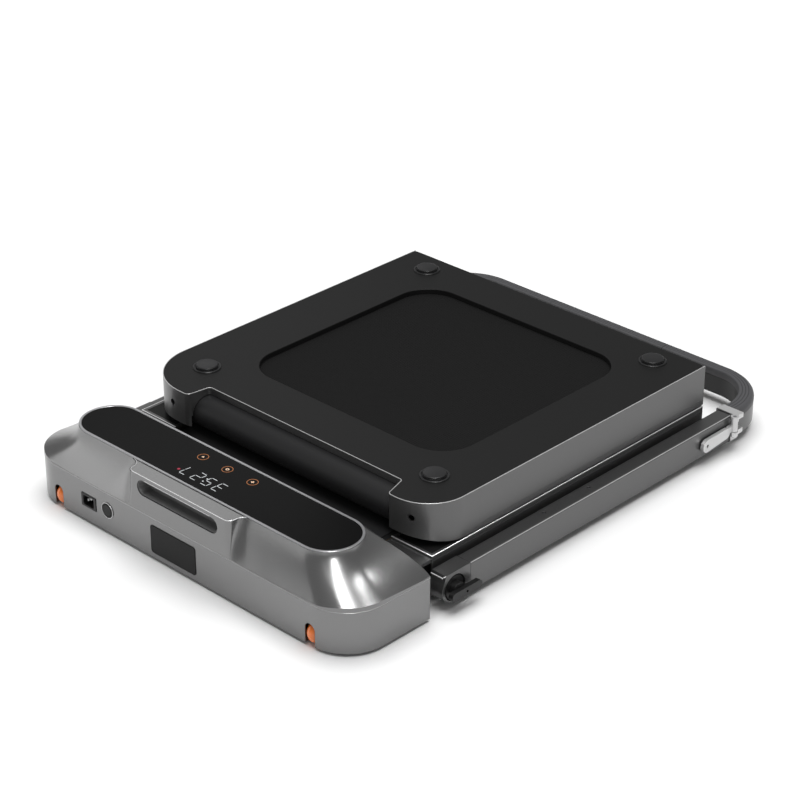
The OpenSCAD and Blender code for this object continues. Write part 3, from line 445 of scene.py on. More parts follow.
def rounded_node(node: str, finish: Finish, body: Body, slot: str, width_mm: float, steps: int = 2,
                 angle: float = ROUND_ANGLE) -> None:
    """Replaces a node by a copy with rounded edges.

    Args:
        node: The node.
        finish: Its finish.
        body: The body it moves with.
        slot: Its material slot.
        width_mm: Width of the rounds.
        steps: Steps across the round.
        angle: Edges sharper than this are rounded.
    """
    piece = node_copy(node, finish)
    round_edges(piece, width_mm, steps, angle)
    hand_over(piece, body, slot, node)


def arc(centre: Flat, radius: float, start: float, end: float, steps: int) -> list[Flat]:
    """Gives the points of an arc.

    Args:
        centre: Its centre.
        radius: Its radius.
        start: First angle in degrees.
        end: Last angle in degrees.
        steps: Number of steps.

    Returns:
        The points, ends included.
    """
    turns = [math.radians(start + (end - start) * i / steps) for i in range(steps + 1)]
    return [(centre[0] + radius * math.cos(t), centre[1] + radius * math.sin(t)) for t in turns]


def circle(centre: Flat, radius: float, steps: int) -> list[Flat]:
    """Gives the points of a circle, from 0 degrees on, each once."""
    return arc(centre, radius, 0, 360 * (1 - 1 / steps), steps - 1)


def skin(rings: Sequence[Sequence[Point]], looped: bool = False) -> Surface:
    """Joins closed rings of equal length into a skin.

    Args:
        rings: The rings.
        looped: Whether the last ring joins the first.

    Returns:
        Points and faces.
    """
    count = len(rings[0])
    faces = []
    for k in range(len(rings) - (not looped)):
        here, after = k * count, (k + 1) % len(rings) * count
        for i in range(count):
            j = (i + 1) % count
            faces.append([here + i, here + j, after + j, after + i])
    return [p for ring in rings for p in ring], faces


def capped(rings: Sequence[Sequence[Point]]) -> Surface:
    """Joins closed rings into a skin with both ends closed.

    Args:
        rings: The rings.

    Returns:
        Points and faces.
    """
    points, faces = skin(rings)
    count = len(rings[0])
    last = len(points) - count
    return points, [*faces, list(range(count)), list(range(last, last + count))]


def bead(name: str, path: Sequence[Point], radius: float, finish: Finish, body: Body, slot: str,
         closed: bool = False) -> None:
    """Lays a thin round bead along a path.

    Args:
        name: The piece's name.
        path: Points in mm from the head's front.
        radius: The bead's radius in mm.
        finish: Its finish.
        body: The body it moves with.
        slot: Its material slot.
        closed: Whether the path closes.
    """
    curve = bpy.data.curves.new(name, "CURVE")
    curve.dimensions = "3D"
    curve.bevel_depth = radius * MM
    curve.bevel_resolution = 2
    curve.use_fill_caps = True
    line = curve.splines.new("POLY")
    line.points.add(len(path) - 1)
    for point, place in zip(line.points, path):
        point.co = (*row_point(*place), 1.0)
    line.use_cyclic_u = closed
    strand = new_piece(name, curve)
    mesh = bpy.data.meshes.new_from_object(strand)
    bpy.data.objects.remove(strand)
    shade(mesh, BEAD_SHARP)
    dress(new_piece(name, mesh), finish, body, slot)


def lathe(name: str, profile: Sequence[Flat], centre: Point, axis: Point, steps: int) -> bpy.types.Object:
    """Turns a profile round an axis.

    Args:
        name: The piece's name.
        profile: Pairs of radius and distance along the axis in mm, closed or from axis to axis.
        centre: The axis's start in mm, with depth from the head's front.
        axis: The axis's direction.
        steps: Steps round the axis.

    Returns:
        The piece.
    """
    turn = Vector((0, 0, 1)).rotation_difference(Vector(axis).normalized())
    rings = [[tuple(Vector(centre) + turn @ Vector((x, y, height)))
              for x, y in circle((0.0, 0.0), radius, steps)]
             for radius, height in profile]
    return mesh_piece(name, skin(rings), SWEPT_SHARP)


def new_tree(name: str, *inputs: str) -> bpy.types.NodeTree:
    """Starts a node tree with named inputs, a surface and one geometry as its output.

    Args:
        name: The tree's name.
        inputs: Names of its inputs, all sizes but for Foot, an object.

    Returns:
        The tree.
    """
    group = bpy.data.node_groups.new(name, "GeometryNodeTree")
    kinds = {"Foot": "Object", "Surface": "Material"}
    for label in (*inputs, "Surface"):
        kind = f"NodeSocket{kinds.get(label, 'Float')}"
        group.interface.new_socket(label, in_out="INPUT", socket_type=kind)
    group.interface.new_socket("Geometry", in_out="OUTPUT", socket_type="NodeSocketGeometry")
    return group


def end_tree(group: bpy.types.NodeTree, surface: bpy.types.NodeSocket, **places: object) -> None:
    """Ends a tree: one instance on each point, made real and coated.

    Args:
        group: The tree.
        surface: The socket that gives the material.
        places: Points, Instance and Scale of the instances.
    """
    laid = add_node(group, "GeometryNodeInstanceOnPoints", places)
    real = add_node(group, "GeometryNodeRealizeInstances", {0: laid.outputs[0]})
    coat = add_node(group, "GeometryNodeSetMaterial", {"Geometry": real.outputs[0], "Material": surface})
    add_node(group, "NodeGroupOutput", {0: coat.outputs[0]})


def grow_piece(name: str, group: bpy.types.NodeTree, place: Matrix, values: dict) -> bpy.types.Object:
    """Makes a piece with a node tree and puts its place in its mesh.

    Args:
        name: The piece's name.
        group: The tree.
        place: Where the result goes.
        values: The tree's inputs by name.

    Returns:
        The piece.
    """
    piece = new_piece(name, bpy.data.meshes.new(name))
    layer = piece.modifiers.new("repeat", "NODES")
    layer.node_group = group
    for item in group.interface.items_tree:
        if item.in_out == "INPUT":
            layer[item.identifier] = values[item.name]
    bake(piece)
    piece.data.transform(place)
    return piece


# Studio


@dataclass(frozen=True)
class SoftLight:
    """A soft rectangular light, with its places and its size in metres."""

    name: str
    place: Point
    aim: Point
    size: Flat
    watts: float
    shine_only: bool = True

    def hang(self) -> None:
        """Hangs the light, which shows as a sheen alone where it isn't to light the floor."""
        data = bpy.data.lights.new(self.name, "AREA")
        data.shape = "RECTANGLE"
        data.size, data.size_y = self.size
        data.energy = self.watts
        lamp = bpy.data.objects.new(self.name, data)
        lamp.location = self.place
        lamp.rotation_euler = (Vector(self.aim) - Vector(self.place)).to_track_quat("-Z", "Y").to_euler()
        lamp.visible_diffuse = not self.shine_only
        bpy.context.scene.collection.objects.link(lamp)


@dataclass
class Studio:
    """The camera, the floor and the soft lights."""

    azimuth: float = 43.984
    elevation: float = 28.119
    focal_px: float = 2360.59
    camera_x: float = 2230.69
    camera_depth: float = -1853.71
    camera_z: float = 1825.38
    principal_x: float = -0.67
    principal_y: float = -0.32
    floor_size: float = 30.0
    backdrop: str = "#d8d8d8"
    backdrop_strength: float = 0.42
    sky_strength: float = 2.9
    sky_spread: float = 55.0
    sky_tilt: Flat = (-8.0, -6.0)
    lights: tuple[SoftLight, ...] = (
        SoftLight("front_left", (-2.6, -2.4, 0.7), (0, -0.4, 0.1), (1.6, 1.2), 9, False),
        SoftLight("long_strip", (1.30, -1.14, 2.1), (0.3, -0.46, 0.1), (0.42, 3.6), 100),
        SoftLight("back_right", (0.95, 0.5, 2.44), (0.3, -0.43, 0.1), (0.35, 0.6), 9),
        SoftLight("back_left", (-1.99, 1.2, 1.6), (0, -0.4, 0.13), (0.8, 0.6), 2),
    )

    def camera(self) -> None:
        """Places the camera at the photograph's viewing angle."""
        data = bpy.data.cameras.new("camera")
        data.sensor_width = SENSOR_WIDTH
        data.lens = self.focal_px * SENSOR_WIDTH / IMAGE_WIDTH
        data.shift_x = -self.principal_x / IMAGE_WIDTH
        data.shift_y = self.principal_y / IMAGE_WIDTH
        data.clip_end = 100.0
        eye = bpy.data.objects.new("camera", data)
        eye.location = row_point(self.camera_x, self.camera_depth, self.camera_z)
        eye.rotation_euler = (math.radians(90 - self.elevation), 0, math.radians(self.azimuth))
        bpy.context.scene.collection.objects.link(eye)
        bpy.context.scene.camera = eye

    def floor(self) -> None:
        """Lays a plain pale floor."""
        half = self.floor_size / 2
        mesh = bpy.data.meshes.new("floor")
        mesh.from_pydata([(-half, -half, 0), (half, -half, 0), (half, half, 0), (-half, half, 0)],
                         [], [(0, 1, 2, 3)])
        ground = new_piece("floor", mesh)
        paint(ground, PALE_FLOOR)

    def sky(self) -> None:
        """Adds an even soft light from above, so that the floor stays pale to the horizon."""
        data = bpy.data.lights.new("sky", "SUN")
        data.energy = self.sky_strength
        data.angle = math.radians(self.sky_spread)
        lamp = bpy.data.objects.new("sky", data)
        lamp.rotation_euler = (*map(math.radians, self.sky_tilt), 0)
        lamp.visible_glossy = False
        bpy.context.scene.collection.objects.link(lamp)
        world = bpy.data.worlds.new("studio")
        bpy.context.scene.world = world
        world.use_nodes = True
        back = world.node_tree.nodes["Background"]
        back.inputs["Color"].default_value = linear(self.backdrop)
        back.inputs["Strength"].default_value = self.backdrop_strength

    def build(self) -> None:
        """Builds the whole studio."""
        self.camera()
        self.floor()
        self.sky()
        for light in self.lights:
            light.hang()
        bpy.context.scene.view_settings.view_transform = "Standard"


# The head


class Station(NamedTuple):
    """A place along the hood: its foot, its top, and the shares of the corner and the rear in it."""

    foot_x: float
    foot_y: float
    top_x: float
    top_y: float
    corner: float = 0.0
    rear: float = 0.0


def cubic(one: float, two: float, t: float) -> float:
    """A cubic curve from 0 to 1 with two inner handles."""
    return 3 * t * (1 - t) ** 2 * one + 3 * t * t * (1 - t) * two + t**3


@dataclass
class HoodShape:
    """The head's hood: a skin between the crease over the lower band and the rim round the glass.

    The four handles of the skin's curve hold their values at the front, the corner and the rear.
    """

    half_width: float = 345.3
    depth: float = 161.7
    corner: float = 68.0
    crease_z: float = 71.0
    top_z: float = 131.5
    panel_y: float = 79.0
    panel_straight: float = 231.0
    panel_radius: float = 50.5
    glass_radius: float = 46.2
    seat_z: float = 129.5
    window_radius: float = 40.1
    inner_top: float = 126.5
    wall: float = 3.0
    block_left: float = -106.0
    block_right: float = 110.0
    block_front: float = 2.7
    block_corner: float = 10.0
    flare_left: float = 19.0
    flare_right: float = 9.0
    spread_left: float = 45.0
    spread_right: float = 28.0
    upright_share: float = 0.13
    upright_rear_loss: float = 0.7
    least_upright: float = 0.5
    first_corner_share: float = 0.4
    full_corner_degrees: float = 36.0
    side_turn: float = 60.0
    side_corner_share: float = 0.75
    side_rear_share: float = 0.85
    out_start: Point = (0.3, 0.08, 0.3)
    out_end: Point = (0.62, 0.5, 0.9)
    drop_start: Point = (0.42, 0.42, 0.15)
    drop_end: Point = (0.72, 0.68, 0.6)
    flat_steps: int = 14
    bend_steps: int = 12
    corner_steps: int = 30
    side_steps: int = 18
    rear_steps: int = 8
    back_steps: int = 10

    def front(self, inset: float) -> list[Station]:
        """Stations along the front, from left to right, round the block.

        Args:
            inset: Wall left off.

        Returns:
            The stations.
        """
        top, nose = self.panel_y - self.panel_radius + inset, self.block_front + inset
        left, right = self.block_left + inset, self.block_right - inset
        corner, low, reach = self.block_corner, self.half_width - self.corner, self.panel_straight
        near, far = left - self.flare_left, right + self.flare_right
        foot_near, foot_far = near - self.spread_left, far + self.spread_right
        flats, bends, deep = self.flat_steps, self.bend_steps, top - nose - corner
        quarter = [(i / bends, math.pi / 2 * i / bends) for i in range(bends + 1)]
        path = [(left - self.flare_left * (1 - math.sin(a)), nose + corner + deep * math.cos(a),
                 -self.spread_left * (1 - t)) for t, a in quarter]
        path += [(left + corner * (1 - math.cos(a)), nose + corner * (1 - math.sin(a)), 0.0)
                 for _, a in quarter[1:]]
        path += [(left + corner + (right - left - 2 * corner) * i / flats, nose, 0.0)
                 for i in range(1, flats)]
        path += [(right - corner * (1 - math.sin(a)), nose + corner * (1 - math.cos(a)), 0.0)
                 for _, a in quarter[:-1]]
        path += [(right + self.flare_right * (1 - math.cos(a)), nose + corner + deep * math.sin(a),
                  self.spread_right * t) for t, a in quarter]
        block = [Station(x + shift, inset, x, y) for x, y, shift in path]
        shares = [i / flats for i in range(flats + 1)]
        before = [Station(-low + (foot_near + low) * t, inset, -reach + (near + reach) * t, top,
                          self.first_corner_share * (1 - t) ** 2) for t in shares[:-1]]
        after = [Station(foot_far + (low - foot_far) * t, inset, far + (reach - far) * t, top,
                         self.first_corner_share * t**2) for t in shares[1:]]
        return before + block + after

    def end(self, inset: float) -> list[Station]:
        """Stations round the right end, from the front corner to the rear edge.

        Args:
            inset: Wall left off.

        Returns:
            The stations.
        """
        low, radius, rear = self.half_width - self.corner, self.corner - inset, self.depth - inset
        side, reach, small = self.half_width - inset, self.panel_straight, self.panel_radius - inset
        first = self.first_corner_share

        def station(foot_x: float, foot_y: float, angle: float, corner: float, share: float) -> Station:
            """One station, its top at an angle in degrees round the panel's end."""
            a = math.radians(angle)
            return Station(foot_x, foot_y, reach + small * math.cos(a), self.panel_y + small * math.sin(a),
                           corner, share)

        made = []
        for i in range(1, self.corner_steps + 1):
            turned = 90 * i / self.corner_steps
            a = math.radians(turned - 90)
            share = first + (1 - first) * turned / self.full_corner_degrees
            made.append(station(low + radius * math.cos(a), self.corner + radius * math.sin(a),
                                turned - 90, min(1.0, share), 0.0))
        for t in (i / self.side_steps for i in range(1, self.side_steps + 1)):
            made.append(station(side, self.corner + (rear - self.corner) * t, self.side_turn * t,
                                1 - (1 - self.side_corner_share) * t, self.side_rear_share * t))
        for t in (i / self.rear_steps for i in range(1, self.rear_steps + 1)):
            made.append(station(side + (reach - side) * t, rear, self.side_turn + (90 - self.side_turn) * t,
                                self.side_corner_share * (1 - t),
                                self.side_rear_share + (1 - self.side_rear_share) * t))
        return made

    def stations(self, inset: float) -> list[Station]:
        """All stations round the hood, counter-clockwise from the front left.

        Args:
            inset: Wall left off.

        Returns:
            The stations.
        """
        end = self.end(inset)
        rear, top, reach = self.depth - inset, self.panel_y + self.panel_radius - inset, self.panel_straight
        across = [reach - 2 * reach * i / self.back_steps for i in range(1, self.back_steps)]
        left = [s._replace(foot_x=-s.foot_x, top_x=-s.top_x) for s in reversed(end)]
        return self.front(inset) + end + [Station(x, rear, x, top, 0.0, 1.0) for x in across] + left

    def point(self, station: Station, t: float, top: float) -> Point:
        """One point of the skin.

        Args:
            station: The station.
            t: 0 at the rim and 1 at the foot.
            top: Height of the rim.

        Returns:
            The point in mm.
        """
        handles = [front + (corner - front) * station.corner
                   + (rear - front - (corner - front) * station.corner) * station.rear
                   for front, corner, rear in (self.out_start, self.out_end, self.drop_start, self.drop_end)]
        out, drop = cubic(*handles[:2], t), cubic(*handles[2:], t)
        upright = (self.upright_share * station.corner * (1 - self.upright_rear_loss * station.rear)
                   * (top - self.crease_z))
        return (station.top_x + (station.foot_x - station.top_x) * out,
                station.top_y + (station.foot_y - station.top_y) * out,
                top + (self.crease_z + max(self.least_upright, upright) - top) * drop)

    def stadium(self, station: Station, radius: float, z: float) -> Point:
        """The point of a stadium round the panel that belongs to a station.

        Args:
            station: The station.
            radius: The stadium's radius.
            z: Its height.

        Returns:
            The point in mm.
        """
        x, y = station.top_x, station.top_y
        if abs(x) > self.panel_straight + 0.01:
            side = math.copysign(self.panel_straight, x)
            out = Vector((x - side, y - self.panel_y)).normalized() * radius
            return (side + out.x, self.panel_y + out.y, z)
        return (x, self.panel_y + (-radius if y < self.panel_y else radius), z)


@dataclass
class Head:
    """The head with its hood, panel, grip and sockets."""

    shape: HoodShape
    grip_length: float = 168.0
    grip_height: float = 21.0
    grip_z: float = 112.0
    grip_depth: float = 18.0
    cut_grow: float = 2.05
    cut_reach: Flat = (-20.0, 24.7)
    lip_front: float = 0.3
    rings: int = 26
    inner_shares: tuple[float, ...] = (1.0, 0.85, 0.7, 0.55, 0.4, 0.2, 0.0)
    pill_steps: int = 16
    ring_steps: int = 72

    def pill(self, grow: float, depth: float) -> list[Point]:
        """The grip pocket's outline at a depth.

        Args:
            grow: How much larger than the pocket.
            depth: Distance behind the head's front.

        Returns:
            The outline's points.
        """
        reach, radius = (self.grip_length - self.grip_height) / 2, self.grip_height / 2 + grow
        ends = [*arc((reach, self.grip_z), radius, -90, 90, self.pill_steps),
                *arc((-reach, self.grip_z), radius, 90, 270, self.pill_steps)]
        return [(x, depth, z) for x, z in ends]

    def hood(self) -> None:
        """The hood's smooth skin, closed inside, with the grip pocket cut in."""
        shape = self.shape
        outer, inner = shape.stations(0.0), shape.stations(shape.wall)
        rings = [[shape.point(s, k / self.rings, shape.top_z) for s in outer] for k in range(self.rings + 1)]
        rings += [[(s.foot_x, s.foot_y, shape.crease_z) for s in wall] for wall in (outer, inner)]
        rings += [[shape.point(s, t, shape.inner_top) for s in inner] for t in self.inner_shares]
        window = ((shape.window_radius, shape.inner_top), (shape.window_radius, shape.seat_z),
                  (shape.glass_radius, shape.seat_z), (shape.glass_radius, shape.top_z))
        rings += [[shape.stadium(s, radius, z) for s in outer] for radius, z in window]
        piece = mesh_piece("hood_skin", skin(rings, True))
        cutter = mesh_piece("grip_cutter", capped([self.pill(self.cut_grow, y) for y in self.cut_reach]))
        cut = piece.modifiers.new("cut", "BOOLEAN")
        cut.object = cutter
        cut.solver = "EXACT"
        bake(piece)
        bpy.data.objects.remove(cutter)
        shade(piece.data, HOOD_SHARP)
        dress(piece, SATIN_LACQUER, Body.BASE, "satin_grey", "hood")

    def grip(self) -> None:
        """The dark pocket behind the hood's slot, with a rolled lip."""
        front, back = self.shape.block_front + self.lip_front, self.grip_depth
        lining = ((2.0, back + 4), (2.0, front + 0.8), (1.4, front), (0.6, front), (0.0, front + 0.8),
                  (-0.8, front + 9), (-2.2, back + 1.0), (-4.0, back + 2.0))
        rings = [self.pill(*place) for place in lining]
        piece = mesh_piece("grip_pocket_lining", capped(rings), SWEPT_SHARP)
        dress(piece, POCKET_ABS, Body.BASE, "dark_plastic", "grip_pocket")

    def seams(self) -> None:
        """The dark parting line, and painted highlights: pale beads on the block's edge, the grip's lip and
        along the crease.
        """
        shape = self.shape
        block = [(s.top_x, s.top_y) for s in shape.stations(0.0)
                 if s.top_y < shape.panel_y - shape.panel_radius - 0.05]
        # Painted highlight: a near-white bead along the block's front top edge.
        edge = [(x, y + 0.45, shape.top_z - 0.3) for x, y in block]
        bead("block_bright_edge", edge, 0.6, EDGE_HIGHLIGHT, Body.BASE, "bright_rim")
        seam = [(x - 0.7, y - 0.2, shape.top_z - 0.5) for x, y in block
                if x < shape.block_left + shape.block_corner]
        bead("block_parting_line", seam, 0.75, BLACK_ABS_AND_PAINTED_SHADE, Body.BASE, "dark_plastic")
        # Painted highlight: a near-white line along the grip's upper lip.
        reach = (self.grip_length - self.grip_height) / 2 - 4
        lip = [(x, shape.block_front, self.grip_z + self.grip_height / 2 + 2.4) for x in (-reach, reach)]
        bead("grip_bright_lip", lip, 0.5, EDGE_HIGHLIGHT, Body.BASE, "bright_rim")
        # Painted highlight: a pale bead along the crease.
        crease = [(s.foot_x, s.foot_y, shape.crease_z) for s in shape.stations(0.1)]
        bead("crease_line", crease, 0.42, CREASE_HIGHLIGHT, Body.BASE, "satin_grey", True)

    def switch_ring(self) -> None:
        """A painted highlight: a near-white ring round the switch."""
        low, high = node_box("switch_bezel")
        middle = (low + high) / 2
        ring = [(x, low.y + 0.35, z)
                for x, z in circle((middle.x, middle.z), (high.x - low.x) / 2 - 0.2, self.ring_steps)]
        bead("switch_bright_ring", ring, 0.45, EDGE_HIGHLIGHT, Body.BASE, "zinc_steel", True)

    def build(self) -> None:
        """Builds the whole head."""
        self.hood()
        self.grip()
        self.seams()
        self.switch_ring()
        for node, finish, body, slot, width in (
                ("panel_rim", ANODISED_RIM, Body.BASE, "bright_rim", 0.5),
                ("panel_glass", BLACK_GLASS, Body.BASE, "black_glass", 0.4),
                ("head_tray", SATIN_LACQUER, Body.BASE, "satin_grey", 0.8),
                ("power_inlet", BLACK_ABS_AND_PAINTED_SHADE, Body.BASE, "dark_plastic", 0.6),
                ("inlet_pins", BRIGHT_PIN, Body.BASE, "zinc_steel", 0.3),
                ("switch_bezel", BLACK_ABS_AND_PAINTED_SHADE, Body.BASE, "dark_plastic", 0.6),
                ("power_switch", ROCKER_ABS, Body.SWITCH, "dark_plastic", 0.5)):
            rounded_node(node, finish, body, slot, width)


@dataclass
class Display:
    """Lit digits and touch marks, just over the glass, read from behind the head."""

    surface_z: float = 132.55
    thickness: float = 0.12
    digits: str = "35:27"
    first_x: float = 38.0
    pitch: float = 22.6
    top_depth: float = 46.5
    digit_height: float = 21.5
    digit_width: float = 12.0
    stroke: float = 1.1
    bar_gap: float = 1.4
    bar_tip: float = 0.9
    slant: float = 2.5
    colon_shift: float = 0.33
    colon_shares: Flat = (0.3, 0.7)
    colon_radius: float = 1.3
    standby_shift: float = -3.95
    standby_depth: float = 6.0
    standby_radius: float = 2.4
    mark_depth: float = 100.2
    mark_places: Point = (-52.0, 0.5, 53.6)
    ring_radius: float = 8.7
    ring_line: float = 0.9
    play_radius: float = 2.6
    stop_radii: Flat = (2.8, 1.6)
    plus_bar: Flat = (2.8, 0.7)
    ring_steps: int = 48
    disc_steps: int = 12

    SEGMENTS = {"2": "abged", "3": "abgcd", "5": "afgcd", "7": "abc"}

    def plate(self, outline: Sequence[Flat]) -> Surface:
        """A thin plate over the glass.

        Args:
            outline: Its outline in x and depth.

        Returns:
            Points and faces.
        """
        return capped([[(x, y, z) for x, y in outline]
                       for z in (self.surface_z, self.surface_z + self.thickness)])

    def disc(self, x: float, depth: float, radius: float) -> Surface:
        """A small round plate with its middle at x and a depth."""
        return self.plate(circle((x, depth), radius, self.disc_steps))

    def ring(self, x: float, outer: float, inner: float) -> Surface:
        """A flat lit ring.

        Args:
            x: Its place along x.
            outer: Outer radius.
            inner: Inner radius.

        Returns:
            Points and faces.
        """
        low, high = self.surface_z, self.surface_z + self.thickness
        return skin([[(px, py, z) for px, py in circle((x, self.mark_depth), radius, self.ring_steps)]
                     for radius, z in ((outer, low), (outer, high), (inner, high), (inner, low))], True)

    def segment(self, origin: float, start: Flat, end: Flat) -> Surface:
        """One lit bar of a digit.

        Args:
            origin: The digit's place along x.
            start: Start of the bar, across and down the digit.
            end: End of the bar.

        Returns:
            The bar's plate.
        """
        way = (Vector(end) - Vector(start)).normalized()
        side, tip = Vector((-way.y, way.x)) * self.stroke / 2, way * self.bar_tip
        a, b = Vector(start) + way * self.bar_gap, Vector(end) - way * self.bar_gap
        return self.plate([(origin - c.x - self.slant * (1 - c.y / self.digit_height), self.top_depth + c.y)
                           for c in (a + side, a - tip, a - side, b - side, b + tip, b + side)])

    def digit_plates(self) -> list[Surface]:
        """The bars of all digits and the dots between them.

        Returns:
            Their plates.
        """
        w, h = self.digit_width, self.digit_height
        ends = {"a": ((0, 0), (w, 0)), "b": ((w, 0), (w, h / 2)), "c": ((w, h / 2), (w, h)),
                "d": ((0, h), (w, h)), "e": ((0, h / 2), (0, h)), "f": ((0, 0), (0, h / 2)),
                "g": ((0, h / 2), (w, h / 2))}
        plates, x = [], self.first_x
        for sign in self.digits:
            if sign == ":":
                dots = x + self.pitch * self.colon_shift
                plates += [self.disc(dots, self.top_depth + h * share, self.colon_radius)
                           for share in self.colon_shares]
                continue
            plates += [self.segment(x, *ends[name]) for name in self.SEGMENTS[sign]]
            x -= self.pitch
        return plates

    def touch_marks(self) -> list[Surface]:
        """The triangle, the small ring and the plus inside the touch rings.

        Returns:
            Their plates.
        """
        left, middle, right = self.mark_places
        long, thin = self.plus_bar
        marks = [self.plate(arc((left, self.mark_depth), self.play_radius, 90, 330, 2)),
                 self.ring(middle, *self.stop_radii)]
        for w, h in ((long, thin), (thin, long)):
            marks.append(self.plate([(right + w * x, self.mark_depth + h * y)
                                     for x, y in ((-1, -1), (1, -1), (1, 1), (-1, 1))]))
        return marks

    def build(self) -> None:
        """Builds the digits, the rings, their marks and the standby dot."""
        outer, inner = self.ring_radius, self.ring_radius - self.ring_line
        rings = [self.ring(x, outer, inner) for x in self.mark_places]
        dot = self.disc(self.first_x + self.standby_shift * self.pitch, self.top_depth + self.standby_depth,
                        self.standby_radius)
        for name, plates, finish in (("lit_digits", self.digit_plates(), WHITE_LIGHT),
                                     ("lit_touch_rings", rings, ORANGE_LIGHT),
                                     ("lit_touch_marks", self.touch_marks(), PALE_LIGHT),
                                     ("lit_standby_dot", [dot], RED_LIGHT)):
            points: list[Point] = []
            faces: list[list[int]] = []
            for more, sides in plates:
                faces += [[len(points) + i for i in side] for side in sides]
                points += more
            dress(mesh_piece(name, (points, faces)), finish, Body.BASE, "circuit_board")


@dataclass
class Label:
    """The bare label on the head's front, with its printed frame."""

    corner: float = 5.0
    edge_round: float = 0.2
    frame_inset: float = 0.9
    line: float = 1.0
    corner_steps: int = 8

    def outline(self, inset: float, depth: float) -> list[Point]:
        """The label's rounded outline.

        Args:
            inset: How far inside its edge.
            depth: Its place behind the head's front.

        Returns:
            The outline's points.
        """
        low, high = node_box("rating_plate")
        middle = (low + high) / 2
        points = []
        for x, z, start in ((high.x, high.z, 0), (low.x, high.z, 90),
                            (low.x, low.z, 180), (high.x, low.z, 270)):
            centre = (x - math.copysign(self.corner, x - middle.x),
                      z - math.copysign(self.corner, z - middle.z))
            points += [(px, depth, pz) for px, pz in
                       arc(centre, self.corner - inset, start, start + 90, self.corner_steps)]
        return points

    def build(self) -> None:
        """Builds the label and its frame line."""
        front, back = (corner.y for corner in node_box("rating_plate"))
        rings = [self.outline(*place)
                 for place in ((0.0, back), (0.0, front + self.edge_round), (self.edge_round, front))]
        dress(mesh_piece("bare_label", capped(rings)), LABEL_FILM, Body.BASE, "plate_metal", "rating_plate")
        path = self.outline(self.frame_inset, front + self.edge_round)
        bead("label_frame_line", path, self.line / 2, LABEL_LINE, Body.BASE, "plate_metal", True)


@dataclass
class TransportWheel:
    """A small glossy wheel with a rounded tread."""

    side: Side
    radius: float = 17.5
    width: float = 17.0
    bore: float = 3.05
    place_x: float = 271.0
    depth: float = 16.1
    height: float = 20.0
    crown: float = 4.0
    crown_steps: int = 8
    turn_steps: int = 72

    def build(self) -> None:
        """Builds the wheel."""
        half, r, shoulder = self.width / 2, self.radius, self.radius - self.crown
        profile = [(self.bore, -half + 1.5), (r - 7.4, -half + 1.5), (r - 6.6, -half + 0.3),
                   (shoulder - 0.8, -half), (shoulder, -half + 0.35)]
        profile += [(r - self.crown * (1 - t) ** 2, half * (t - 1))
                    for t in (k / self.crown_steps for k in range(1, self.crown_steps + 1))]
        profile += [(radius, -along) for radius, along in reversed(profile)]
        node = f"wheel_{self.side.name.lower()}"
        piece = lathe(f"{node}_tread", [*profile, profile[0]],
                      (self.side.value * self.place_x, self.depth, self.height), (1, 0, 0), self.turn_steps)
        dress(piece, ORANGE_POLYURETHANE, Body[node.upper()], "orange_plastic", node)


# The deck sections


@dataclass
class SectionEdgeHighlight:
    """Painted highlight: a pale bead round the folded section's top edge, open at the rear."""

    half_width: float = 311.4
    front: float = 197.0
    rear: float = 819.6
    left_corner: float = 95.0
    right_corner: float = 68.0
    notch_left: float = 194.0
    notch_right: float = 226.0
    notch_slant: float = 8.0
    notch_back: float = 238.0
    fillet: float = 6.0
    tip: float = 9.0
    top_z: float = 144.3
    bead_radius: float = 0.7
    rear_gap: float = 1.0
    left_steps: int = 24
    right_steps: int = 20
    small_steps: int = 8

    def outline(self, inset: float) -> list[Flat]:
        """The open outline from the right rear, round the notch, to the left rear.

        Args:
            inset: How far inside the outline.

        Returns:
            Points in x and depth.
        """
        side, end, small = self.half_width, self.rear - self.rear_gap, self.small_steps
        left, right = self.left_corner, self.right_corner
        turn = self.notch_back - self.fillet + inset
        notch_right = self.notch_right - self.notch_slant - self.fillet + inset
        notch_left = self.notch_slant / 2 - self.notch_left + self.fillet - inset
        corners = (((side - right, self.front + right), right - inset, 0, -90, self.right_steps),
                   ((self.notch_right + self.tip, self.front + self.tip), self.tip - inset,
                    -90, -180, small),
                   ((notch_right, turn), self.fillet, 0, 90, small),
                   ((notch_left, turn), self.fillet, 90, 180, small),
                   ((-self.notch_left - self.tip, self.front + self.tip), self.tip - inset, 0, -90, small),
                   ((left - side, self.front + left), left - inset, -90, -180, self.left_steps))
        return [(side - inset, end), *(point for corner in corners for point in arc(*corner)),
                (inset - side, end)]

    def build(self) -> None:
        """Lays the painted highlight."""
        path = [(x, y, self.top_z) for x, y in self.outline(self.bead_radius)]
        bead("section_bright_edge", path, self.bead_radius, SECTION_HIGHLIGHT, Body.REAR, "graphite_paint")


@dataclass
class FootRailHighlights:
    """Two painted highlights on each foot rail of the fixed section: pale lines on its lip and the step
    inside it.
    """

    inner: float = 232.0
    outer: float = 311.4
    front: float = 201.0
    rear: float = 819.6
    top_z: float = 74.1
    lip: float = 0.6
    step: float = 4.0
    radius: float = 1.0
    proud: float = 0.5

    def build(self) -> None:
        """Lays the lines on both sides."""
        z = self.top_z - self.radius + self.proud
        for side in Side:
            s, name = side.value, side.name.lower()
            # Both lines are painted highlights: near-white on the lip, softer on the step.
            for inset, radius, finish, piece in ((self.lip, self.radius, EDGE_HIGHLIGHT, "lip"),
                                                 (self.step, self.radius / 2, CREASE_HIGHLIGHT, "step")):
                front, outer = self.front + inset, s * (self.outer - inset)
                path = [(s * self.inner, front, z), (outer, front, z), (outer, self.rear, z)]
                bead(f"foot_rail_{piece}_{name}", path, radius, finish, Body.BASE, "graphite_paint")


